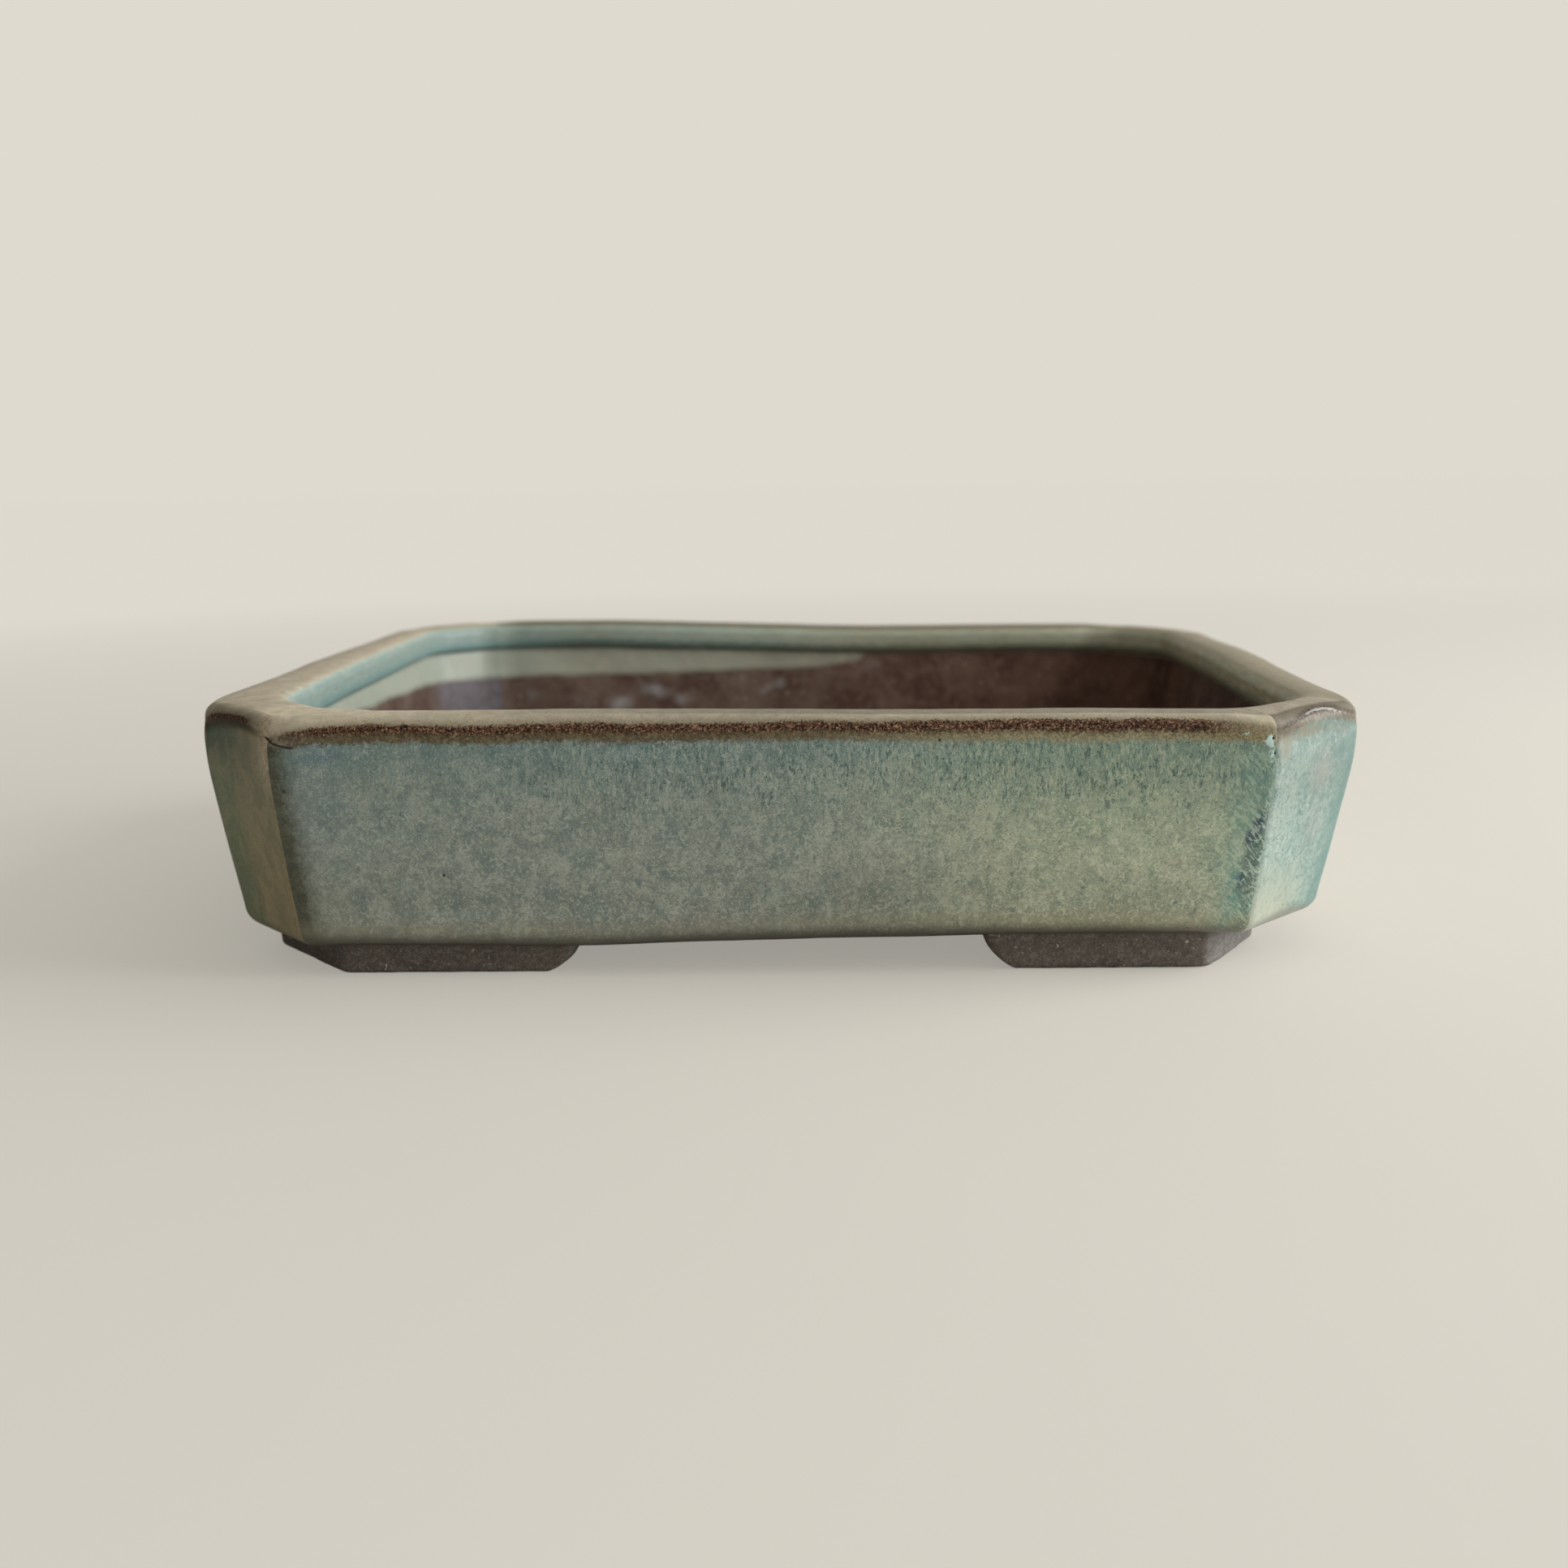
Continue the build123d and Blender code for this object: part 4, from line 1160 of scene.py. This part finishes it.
def section_piece(name, k, rows, node_name, seat=False):
    """One side between its mitres: smooth where grid rows follow on, else flat joint faces."""
    block = np.ix_(rows, [c % COLUMNS for c in range(MITRES[k], MITRES[k + 1] + 1)])
    rings, ring_normals = surface[block], surface_normals[block]
    if seat:
        rings[-1, :, 2] += SEAT_RISE
        rings[-2, :, 2] = rings[-1, :, 2] - SEAT_DROP
    total, width = rings.shape[:2]
    points = rings.reshape(-1, 3)
    index = np.arange(total * width).reshape(total, width)
    faces, normals, smooth = [], [], []

    def add_face(face, corner_normals=None):
        if corner_normals is None:
            corners = points[list(face)]
            normal = np.cross(corners, np.roll(corners, -1, 0)).sum(0)
            normals.extend([normal / (np.linalg.norm(normal) + 1e-12)] * len(face))
        else:
            normals.extend(corner_normals)
        faces.append(tuple(int(corner) for corner in face))
        smooth.append(corner_normals is not None)

    for i in range(total):
        below_row = (i + 1) % total
        follows = rows[below_row] == rows[i] + 1
        for j in range(width - 1):
            corners = ((i, j), (i, j + 1), (below_row, j + 1), (below_row, j))
            add_face([index[corner] for corner in corners],
                     [ring_normals[corner] for corner in corners] if follows else None)
    add_face(index[::-1, 0])
    add_face(index[:, -1])
    maps = {key: grid[block].reshape(-1) for key, grid in GLAZE_MAPS.items()}
    make_piece(name, points, faces, GLAZE, "pot", node_name,
               maps, normals, smooth)


for k, side_name in enumerate(SIDES):
    section_piece(f"{side_name}_wall_glazed", k, WALL_ROWS, f"{side_name}_wall", seat=True)
    section_piece(f"{side_name}_lip_glazed", k, LIP_ROWS, f"{side_name}_lip")

# ================================================================== floor slab
# holes: centre x, centre y, radius, rounded edge, segments, clearance of the points round it
HOLES = [(sign * DRAIN_X, 0, DRAIN_RADIUS, DRAIN_EDGE, 72, 0.7) for sign in (-1, 1)]
HOLES += [(x_sign * TIE_X, y_sign * TIE_Y, TIE_RADIUS, TIE_EDGE, 28, 0.65)
          for x_sign in (-1, 1) for y_sign in (-1, 1)]
FLOOR_PITCH = 1.45
FLOOR_MARGIN = 12                        # inset of the floor's grid of points


def circle(x, y, radius, count):
    return [(x + radius * math.cos(2 * math.pi * i / count),
             y + radius * math.sin(2 * math.pi * i / count)) for i in range(count)]


def resample(loop, step):
    points = []
    for start, end in zip(loop, np.roll(loop, -1, 0)):
        count = max(1, int(round(np.hypot(*(end - start)) / step)))
        points += [tuple(start + (end - start) * j / count) for j in range(count)]
    return points


def edge_distance(points):
    """Distance of plan points inside the floor's outline."""
    corners = octagon(FLOOR_INSET)
    distances = []
    for start, end in zip(corners, np.roll(corners, -1, 0)):
        along_edge = unit(end - start)
        distances.append((points - start) @ np.array([-along_edge[1], along_edge[0]]))
    return np.min(distances, axis=0)


def floor_plan():
    """Triangulated plan: points, triangles, and the point loops of outline and holes."""
    loops = [resample(octagon(FLOOR_INSET), 1.5)]
    loops += [circle(x, y, radius + edge, count) for x, y, radius, edge, count, _ in HOLES]
    points, edges = [], []
    for loop in loops:
        first = len(points)
        points += loop
        edges += [(first + i, first + (i + 1) % len(loop)) for i in range(len(loop))]
    reach_x, reach_y = HALF_X - FLOOR_MARGIN, HALF_Y - FLOOR_MARGIN
    grid = np.array([(x, y) for x in np.arange(-reach_x, reach_x + 1e-6, FLOOR_PITCH)
                     for y in np.arange(-reach_y, reach_y + 1e-6, FLOOR_PITCH)])
    grid = grid + np.random.default_rng(77).uniform(-0.3, 0.3, grid.shape)
    keep = edge_distance(grid) > 0.8
    for x, y, radius, edge, _, clearance in HOLES:
        keep &= np.hypot(grid[:, 0] - x, grid[:, 1] - y) > radius + edge + clearance
    points += [tuple(point) for point in grid[keep]]

    result = delaunay_2d_cdt([Vector(point) for point in points], edges, [], 0, 1e-6)
    plan = np.array([tuple(point) for point in result[0]])
    triangles = []
    for face in result[2]:
        middle = plan[list(face)].mean(0)
        if any(np.hypot(middle[0] - x, middle[1] - y) < radius + edge - 0.02
               for x, y, radius, edge, *_ in HOLES):
            continue
        area = np.cross(plan[face[1]] - plan[face[0]], plan[face[2]] - plan[face[0]])
        triangles.append(tuple(face) if area > 0 else tuple(face[::-1]))
    new_index = {old: new for new, olds in enumerate(result[3]) for old in olds}
    boundary, first = [], 0
    for loop in loops:
        boundary.append([new_index[first + i] for i in range(len(loop))])
        first += len(loop)
    return plan, triangles, boundary


def bore_levels(radius, edge):
    """(radius, share of the way down, rise) of the rings down a bore with rounded rims."""
    rim = []
    for i in range(1, 6):
        angle = math.radians(90 * i / 5)
        rim.append((radius + edge - edge * math.sin(angle), edge * math.cos(angle) - edge))
    return ([(ring, 0, rise_mm) for ring, rise_mm in rim]
            + [(radius, i / 4, -edge + 2 * edge * i / 4) for i in range(1, 4)]
            + [(ring, 1, -rise_mm) for ring, rise_mm in rim[::-1]])


def floor_piece():
    plan, triangles, boundary = floor_plan()
    x, y = plan.T
    inward = edge_distance(plan)
    flat = np.stack([x, y, np.zeros(len(plan))], -1)
    # the top is pressed down by hand, but hardly at all round the drains
    press = 0.30 * noise3(flat, 21, 61) + 0.12 * noise3(flat, 6.5, 62) + 0.05 * noise3(flat, 2.1, 63)
    press = np.minimum(press - 0.30, 0.0)
    press *= 0.12 + 0.88 * rise(np.maximum(np.abs(np.abs(x) - DRAIN_X), np.abs(y)), 13, 19)
    press = np.maximum(press, -0.75)
    top = np.stack([x, y, FLOOR_TOP + press * rise(inward, 1.5, 5.0)], -1)
    low = np.stack([x, y, UNDER + 0.10 * np.abs(noise3(flat, 9, 64)) + 0.02], -1)
    near_edge = fall(inward, 4, 26)[:, None]
    top = top + lean(top) * near_edge
    low = low + lean(low) * near_edge

    count = len(plan)
    points = np.concatenate([top, low], 0).tolist()
    faces = triangles + [tuple(i + count for i in face[::-1]) for face in triangles]
    faces += band(boundary[0], [i + count for i in boundary[0]])
    for number, (loop, hole) in enumerate(zip(boundary[1:], HOLES)):
        centre_x, centre_y, radius, edge = hole[:4]
        ring = loop
        for level_radius, share, rise_mm in bore_levels(radius, edge):
            next_ring = []
            for i in loop:
                dx, dy = plan[i][0] - centre_x, plan[i][1] - centre_y
                wobble = 1 + 0.012 * math.sin(3 * math.atan2(dy, dx) + number)
                reach = level_radius * wobble / math.hypot(dx, dy)
                z = top[i][2] + (low[i][2] - top[i][2]) * share + rise_mm
                next_ring.append(len(points))
                points.append((centre_x + dx * reach, centre_y + dy * reach, z))
            faces += band(ring, next_ring, turned=True)
            ring = next_ring
        faces += band(ring, [i + count for i in loop], turned=True)
    make_piece("floor_slab_clay", points, faces, CLAY_FLOOR, "pot", "floor_slab",
               sharp_angle=50)


floor_piece()

# ======================================================================== feet
FOOT_INSET, FOOT_WIDTH, FOOT_CUT = 7.0, 9.0, 15.4
FOOT_ARM_END_Y = 19.0
FOOT_EDGE = 0.95                         # radius of the bottom edge
FOOT_HEIGHTS = [5.6, 5.0, 4.5, 4.0, 3.5, 3.0, 2.5, 2.0, 1.6, 1.25, FOOT_EDGE]


def rounded(corners, radii, step):
    """Anticlockwise outline with rounded corners: points and outward normals."""
    corners = [np.array(corner, float) for corner in corners]
    arcs = []
    for i, corner in enumerate(corners):
        to_last = unit(corners[i - 1] - corner)
        to_next = unit(corners[(i + 1) % len(corners)] - corner)
        angle = math.acos(np.clip(to_last @ to_next, -1, 1))
        trim = radii[i] / math.tan(angle / 2)
        start, end = corner + to_last * trim, corner + to_next * trim
        centre = corner + unit(to_last + to_next) * radii[i] / math.sin(angle / 2)
        first, last = np.unwrap([angle_of(start - centre), angle_of(end - centre)])
        count = max(4, int(abs(last - first) * radii[i] / step * 1.6))
        arcs.append((start, end, [centre + radii[i] * np.array([math.cos(turn), math.sin(turn)])
                                  for turn in np.linspace(first, last, count)]))
    points = []
    for i, (_, end, arc_points) in enumerate(arcs):
        gap = arcs[(i + 1) % len(arcs)][0] - end
        count = max(1, int(round(np.hypot(*gap) / step)))
        points += arc_points + [end + gap * j / count for j in range(1, count)]
    points = np.array(points)
    tangents = np.roll(points, -1, 0) - np.roll(points, 1, 0)
    tangents /= np.hypot(tangents[:, 0], tangents[:, 1])[:, None] + 1e-12
    return points, np.stack([tangents[:, 1], -tangents[:, 0]], -1)


def foot_piece(place, x_sign, y_sign, seed, start=29.5, drawn_in=0.0, turn=2.4):
    """L-shaped foot, drawn at the front right and mirrored to its corner."""
    x_out, y_out = HALF_X - FOOT_INSET, HALF_Y - FOOT_INSET
    x_in, y_in = x_out - FOOT_WIDTH, y_out - FOOT_WIDTH
    cut_in = FOOT_CUT - (2 - math.sqrt(2)) * FOOT_WIDTH
    outline, normals = rounded([
        (start, -y_out), (x_out - FOOT_CUT, -y_out), (x_out - drawn_in, -y_out + FOOT_CUT),
        (x_out - drawn_in * 0.6, -FOOT_ARM_END_Y), (x_in, -FOOT_ARM_END_Y),
        (x_in, -y_in + cut_in), (x_in - cut_in, -y_in), (start, -y_in)],
        radii=[1.6, turn, 2.4, 1.6, 1.6, 3.0, 3.0, 1.6], step=0.62)
    levels = [(z, 0.0) for z in FOOT_HEIGHTS]
    for i in range(1, 8):
        angle = math.radians(90 * i / 7)
        levels.append((FOOT_EDGE - FOOT_EDGE * math.sin(angle),
                       FOOT_EDGE - FOOT_EDGE * math.cos(angle)))
    rings = []
    for z, inset in levels:
        points = outline - normals * inset
        # the arm ends are cut back in a curve towards the foot plane
        back_cut = 4.2 * (1 - min(z, UNDER) / UNDER) ** 2.1
        long_arm = np.clip(1 - (points[:, 0] - start) / 8.0, 0, 1) * (points[:, 1] < -y_in + 1.2)
        short_arm = np.clip(1 + (points[:, 1] + FOOT_ARM_END_Y) / 8.0, 0, 1) * (
            points[:, 0] > x_in - 1.2)
        points = points + np.stack([long_arm * back_cut, -short_arm * back_cut], -1)
        # sides lean out slightly towards the pot
        points = points + normals * (0.22 * (z / UNDER - 0.5))
        rings.append(np.column_stack([points, np.full(len(points), z)]))
    # three rings shrink across the bottom
    bottom = rings[-1][:, :2]
    for inset in (0.5, 1.3, 2.4):
        rings.append(np.column_stack([bottom - normals * inset, np.zeros(len(bottom))]))

    rings = np.array(rings)
    mirror = np.array([x_sign, -y_sign])
    rings[..., :2] *= mirror
    rough = (0.16 * noise3(rings, 8, seed) + 0.07 * noise3(rings, 2.6, seed + 1)
             + 0.03 * noise3(rings, 1.1, seed + 2))
    rings[..., :2] += normals * mirror * rough[..., None]
    rings[..., 2] += np.where(rings[..., 2] < 0.4, 0.05 * np.abs(noise3(rings, 3, seed + 3)), 0)
    # follow the pot's own lean where the foot meets it
    under_pot = rings.copy()
    under_pot[..., 2] = UNDER
    offset = lean(under_pot)
    rings[..., 2] += offset[..., 2] * np.clip(rings[..., 2] / UNDER, 0, 1)
    rings[..., :2] += offset[..., :2] * 0.6
    rings[0, :, 2] += 0.25

    index = np.arange(rings.shape[0] * rings.shape[1]).reshape(rings.shape[:2]).tolist()
    faces = []
    for ring, next_ring in zip(index, index[1:]):
        faces += band(ring, next_ring)
    faces += [tuple(index[0]), tuple(index[-1][::-1])]
    if (x_sign < 0) != (y_sign > 0):
        faces = [face[::-1] for face in faces]
    make_piece(f"{place}_foot_clay", rings.reshape(-1, 3), faces, CLAY_FOOT, "pot",
               f"{place}_foot", sharp_angle=55)


foot_piece("front_left", -1, -1, seed=70)
foot_piece("front_right", 1, -1, seed=74, start=32.0, drawn_in=5.2, turn=3.4)
foot_piece("back_left", -1, 1, seed=78)
foot_piece("back_right", 1, 1, seed=82)


# ================================================================ drain covers
def screen_material():
    material = new_material("screen_mesh")
    place = object_mm()
    broad, fine = noise(place, 3.0, 3, 0.6), noise(place, 0.35, 2, 0.6)
    plastic = mix(above(broad, 0.35, 0.7), (0.018, 0.022, 0.020, 1), (0.040, 0.044, 0.038, 1))
    dust = mul(above(fine, 0.55, 0.75), above(broad, 0.45, 0.7))
    output(principled({
        "Base Color": cover(plastic, srgb(150, 132, 112), dust, 0.55),
        "Roughness": line(fine, 0.3, 0.7, 0.38, 0.62),
        "Normal": bump(add(fine, mul(broad, 0.6)), 0.04, 0.7)}))
    return material


def wire_material():
    material = new_material("clip_wire")
    place = object_mm()
    broad = noise(place, 2.5, 3, 0.6, 0.5)
    fine = noise(place, 0.28, 2, 0.6, 1.0, stretch=(1, 1, 1))
    metal = mix(above(broad, 0.35, 0.7), srgb(176, 172, 166), srgb(132, 126, 118))
    output(principled({
        "Base Color": cover(metal, srgb(92, 84, 76), above(fine, 0.58, 0.72), 0.5),
        "Metallic": line(broad, 0.3, 0.7, 0.95, 0.7),
        "Roughness": line(fine, 0.3, 0.7, 0.28, 0.52), "Normal": bump(fine, 0.03, 0.6)}))
    return material


SCREEN_MATERIAL, WIRE_MATERIAL = screen_material(), wire_material()

NET_HALF = 15.0                          # half the net's side
NET_PITCH, NET_HALF_OPENING = 3.0, 1.1
NET_LAST = 4                             # openings run from -NET_LAST to NET_LAST each way
NET_BASE, NET_THICKNESS = 10.55, 1.0
NET_CORNER = 1.2                         # radius of the frame's corners
NET_STRAND = NET_PITCH - 2 * NET_HALF_OPENING


def net_stations():
    """Grid lines of the net, the same in x and y."""
    last_edge = NET_LAST * NET_PITCH + NET_HALF_OPENING
    places = [*np.linspace(-NET_HALF, -last_edge, 9), *np.linspace(last_edge, NET_HALF, 9)]
    for i in range(-NET_LAST, NET_LAST + 1):
        for inset in (0, 0.126, 0.42, NET_HALF_OPENING):
            offset = NET_HALF_OPENING - inset
            places += [i * NET_PITCH - offset, i * NET_PITCH + offset]
    for i in range(-NET_LAST, NET_LAST):
        start = i * NET_PITCH + NET_HALF_OPENING
        places += list(np.linspace(start, start + NET_STRAND, 5))
    return np.array(sorted({round(float(place), 4) for place in places}))


def net_height(x, y):
    """Share of full thickness: crowned strands, full at crossings and frame."""
    def crown(value):
        nearest = np.clip(np.round(value / NET_PITCH), -NET_LAST, NET_LAST)
        across = np.abs(value - nearest * NET_PITCH) - NET_HALF_OPENING
        half = NET_STRAND / 2
        return np.sqrt(np.clip(1 - ((np.clip(across, 0, NET_STRAND) - half) / half) ** 2, 0, 1))

    crown_x, crown_y = crown(x), crown(y)
    height = np.maximum(np.maximum(crown_x, crown_y) * 0.86, (crown_x * crown_y) ** 0.5)
    reach = np.maximum(np.abs(x), np.abs(y))
    height = np.where(reach > NET_LAST * NET_PITCH + NET_HALF_OPENING + 0.3, 1.0, height)
    edge = NET_HALF - reach
    rim = 0.45 + 0.55 * np.sqrt(np.clip(edge / 0.35, 0, 1))
    return np.clip(np.where(edge < 0.35, rim, height), 0.30, 1.0)


def round_corners(x, y):
    """Pull the net's square corners in to an arc."""
    straight = NET_HALF - NET_CORNER
    over_x, over_y = (np.abs(x) - straight) / NET_CORNER, (np.abs(y) - straight) / NET_CORNER
    pull = np.maximum(np.abs(over_x), np.abs(over_y)) / (np.hypot(over_x, over_y) + 1e-9)
    at_corner = (over_x > 0) & (over_y > 0)
    return (np.where(at_corner, np.sign(x) * (straight + over_x * pull * NET_CORNER), x),
            np.where(at_corner, np.sign(y) * (straight + over_y * pull * NET_CORNER), y))


def screen_piece(place, centre_x):
    """Moulded net: rounded strands and small pads where they cross."""
    stations = net_stations()
    count = len(stations)
    middles = (stations[1:] + stations[:-1]) / 2
    nearest = np.round(middles / NET_PITCH)
    opened = (np.abs(middles - nearest * NET_PITCH) < NET_HALF_OPENING) & (
        np.abs(nearest) <= NET_LAST)
    solid = ~(opened[:, None] & opened[None, :])
    used = np.zeros((count, count), bool)
    for rows in (slice(None, -1), slice(1, None)):
        for columns in (slice(None, -1), slice(1, None)):
            used[rows, columns] |= solid

    x, y = np.meshgrid(stations, stations, indexing="ij")
    half = NET_THICKNESS / 2
    height = net_height(x, y) * half
    wobble = np.abs(noise3(np.stack([x + centre_x, y, x * 0], -1), 9, 91) * 0.03)
    plan_x, plan_y = round_corners(x, y)
    index = -np.ones((2, count, count), int)
    points = []
    for layer, way in enumerate((1, -1)):
        z = NET_BASE + half + way * height + wobble
        for i, j in np.argwhere(used):
            index[layer, i, j] = len(points)
            points.append((plan_x[i, j] + centre_x, plan_y[i, j], z[i, j]))
    top, bottom = index.tolist()
    faces = []
    for i, j in np.argwhere(solid).tolist():
        quad = [(i, j), (i + 1, j), (i + 1, j + 1), (i, j + 1)]
        faces.append(tuple(top[a][b] for a, b in quad))
        faces.append(tuple(bottom[a][b] for a, b in quad[::-1]))
        # a side face wherever the neighbouring cell is open or missing
        for edge, (a, b) in enumerate([(i, j - 1), (i + 1, j), (i, j + 1), (i - 1, j)]):
            if 0 <= a < count - 1 and 0 <= b < count - 1 and solid[a, b]:
                continue
            (i1, j1), (i2, j2) = quad[edge], quad[(edge + 1) % 4]
            faces.append((top[i2][j2], top[i1][j1], bottom[i1][j1], bottom[i2][j2]))
    make_piece(f"{place}_drain_screen_net", points, faces, SCREEN_MATERIAL,
               f"{place}_drain_cover", f"{place}_drain_screen", sharp_angle=60)


WIRE_RADIUS, WIRE_SEGMENTS = 0.75, 18
CLIP_Z, CLIP_LEG_BOTTOM, CLIP_LEG_X = 12.4, 3.6, 6.0
CLIP_BEND, CLIP_LOOP = 1.3, 4.0          # centre line radii of bend and loop
CLIP_BAR_ANGLE = math.radians(-15.96)


def clip_path():
    """Centre line of the wire: leg, bend, loop, bar, loop, bend, leg."""
    half = [(-CLIP_LEG_X, 0.0, z) for z in np.linspace(CLIP_LEG_BOTTOM, CLIP_Z - CLIP_BEND, 12)]
    for angle in np.linspace(0, math.pi / 2, 8)[1:]:
        half.append((-CLIP_LEG_X, -CLIP_BEND * (1 - math.cos(angle)),
                     CLIP_Z - CLIP_BEND + CLIP_BEND * math.sin(angle)))
    # clockwise round the loop, to where the bar leaves it at a tangent
    sweep = 2 * math.pi - (math.radians(90) + CLIP_BAR_ANGLE)
    for angle in np.linspace(0, sweep, 60)[1:]:
        half.append((-CLIP_LEG_X - CLIP_LOOP + CLIP_LOOP * math.cos(angle),
                     -CLIP_BEND - CLIP_LOOP * math.sin(angle), CLIP_Z))
    half = np.array(half)
    other = half * [-1, -1, 1]
    bar = np.linspace(half[-1], other[-1], 22)[1:-1]
    return np.concatenate([half, bar, other[::-1]], 0)


def clip_piece(place, centre_x, mirror):
    path = clip_path() * [mirror, 1, 1] + [centre_x, 0, 0]
    tangents = np.gradient(path, axis=0)
    tangents /= np.linalg.norm(tangents, axis=1)[:, None]
    normal = np.array([1.0, 0.3, 0.0])
    points = []
    for i, tangent in enumerate(tangents):
        normal = unit(normal - tangent * (normal @ tangent))
        sideways = np.cross(tangent, normal)
        # the wire's two ends are rounded off
        radius = WIRE_RADIUS * {0: 0.80, 1: 0.95}.get(min(i, len(path) - 1 - i), 1.0)
        for j in range(WIRE_SEGMENTS):
            angle = 2 * math.pi * j / WIRE_SEGMENTS
            points.append(tuple(path[i] + radius * (
                math.cos(angle) * normal + math.sin(angle) * sideways)))
    index = np.arange(len(points)).reshape(-1, WIRE_SEGMENTS).tolist()
    faces = []
    for ring, next_ring in zip(index, index[1:]):
        faces += band(ring, next_ring, turned=True)
    faces += [tuple(index[0][::-1]), tuple(index[-1])]
    make_piece(f"{place}_screen_clip_wire", points, faces, WIRE_MATERIAL,
               f"{place}_drain_cover", f"{place}_screen_clip", sharp_angle=50)


screen_piece("left", -DRAIN_X)
screen_piece("right", DRAIN_X)
clip_piece("left", -DRAIN_X, mirror=1)
clip_piece("right", DRAIN_X, mirror=-1)

# ======================================================= floor, light and camera
# In metres from here on.
BACKDROP = srgb(222, 218, 208)
FLOOR_RADIUS, FLOOR_SEGMENTS = 9.0, 96


def stage_floor():
    material = new_material("studio_floor")
    tone = mix(noise(object_mm(), 60, 3, 0.5), srgb(216, 212, 202), srgb(220, 216, 206))
    paper = principled({"Base Color": tone, "Roughness": 0.75, "Specular IOR Level": 0.2})
    # seen directly, the floor fades to the backdrop's tone, so no horizon shows
    distance = node("VectorMath", {0: node("TexCoord").outputs["Object"]}, operation="LENGTH")
    far = line(distance.outputs["Value"], 0.10, 0.75, 0.45, 0.985)
    share = mul(node("LightPath").outputs["Is Camera Ray"], far)
    glow = node("Emission", {0: BACKDROP}).outputs[0]
    output(node("MixShader", {0: share, 1: paper, 2: glow}).outputs[0])

    mesh = bpy.data.meshes.new("studio_floor")
    ring = [(x, y, 0.0) for x, y in circle(0, 0, FLOOR_RADIUS, FLOOR_SEGMENTS)]
    mesh.from_pydata(ring, [], [tuple(range(FLOOR_SEGMENTS))])
    mesh.materials.append(material)
    floor = bpy.data.objects.new("studio_floor", mesh)
    bpy.context.scene.collection.objects.link(floor)


def studio_world():
    """Plain backdrop to the camera; light that grows towards +X for everything else."""
    bpy.context.scene.world = start_tree(bpy.data.worlds.new("studio"))
    direction = node("SeparateXYZ", {0: node("TexCoord").outputs["Generated"]})
    strength = line(direction.outputs["X"], -0.9, 0.9, 0.22, 0.80, "SMOOTHSTEP")
    light = node("Background", {0: srgb(240, 236, 228), 1: strength}).outputs[0]
    backdrop = node("Background", {0: BACKDROP, 1: 1.0}).outputs[0]
    is_camera = node("LightPath").outputs["Is Camera Ray"]
    output(node("MixShader", {0: is_camera, 1: light, 2: backdrop}).outputs[0], "OutputWorld")


def window_light():
    place, target = Vector((0.72, -0.06, 0.30)), Vector((0.0, 0.0, 0.03))
    data = bpy.data.lights.new("window", "AREA")
    data.shape = "RECTANGLE"
    data.size, data.size_y = 0.55, 0.50
    data.energy = 7.5
    data.color = (1.0, 0.99, 0.975)
    light = bpy.data.objects.new("window", data)
    light.location = place
    light.rotation_mode = "QUATERNION"
    light.rotation_quaternion = (target - place).to_track_quat("-Z", "Y")
    bpy.context.scene.collection.objects.link(light)


def add_camera():
    """Camera before the pot, looking a little down; it tips with the pot's body."""
    pitch, roll, yaw = math.radians(11.24), math.radians(-0.63), math.radians(-2.48)
    forward = Vector((math.sin(yaw) * math.cos(pitch), math.cos(yaw) * math.cos(pitch),
                      -math.sin(pitch)))
    level = Vector((math.cos(yaw), -math.sin(yaw), 0.0))
    upright = level.cross(forward)
    camera_x = math.cos(roll) * level + math.sin(roll) * upright
    camera_y = -math.sin(roll) * level + math.cos(roll) * upright
    turn = Matrix((camera_x, camera_y, -forward)).transposed().to_4x4()
    data = bpy.data.cameras.new("camera")
    data.sensor_fit = "HORIZONTAL"
    data.sensor_width, data.lens = 36.0, 36.055901
    data.clip_start, data.clip_end = 0.01, 40.0
    data.dof.use_dof = True
    data.dof.focus_distance = 0.224
    data.dof.aperture_fstop = 15.0
    camera = bpy.data.objects.new("camera", data)
    camera.matrix_world = (Matrix.Translation((0, 0, LIFT * 0.001)) @ Matrix.Rotation(TILT, 4, "Y")
                           @ Matrix.Translation((0.01198, -0.29045, 0.07387)) @ turn)
    bpy.context.scene.collection.objects.link(camera)
    bpy.context.scene.camera = camera


stage_floor()
studio_world()
window_light()
add_camera()
bpy.context.scene.view_settings.view_transform = "Standard"
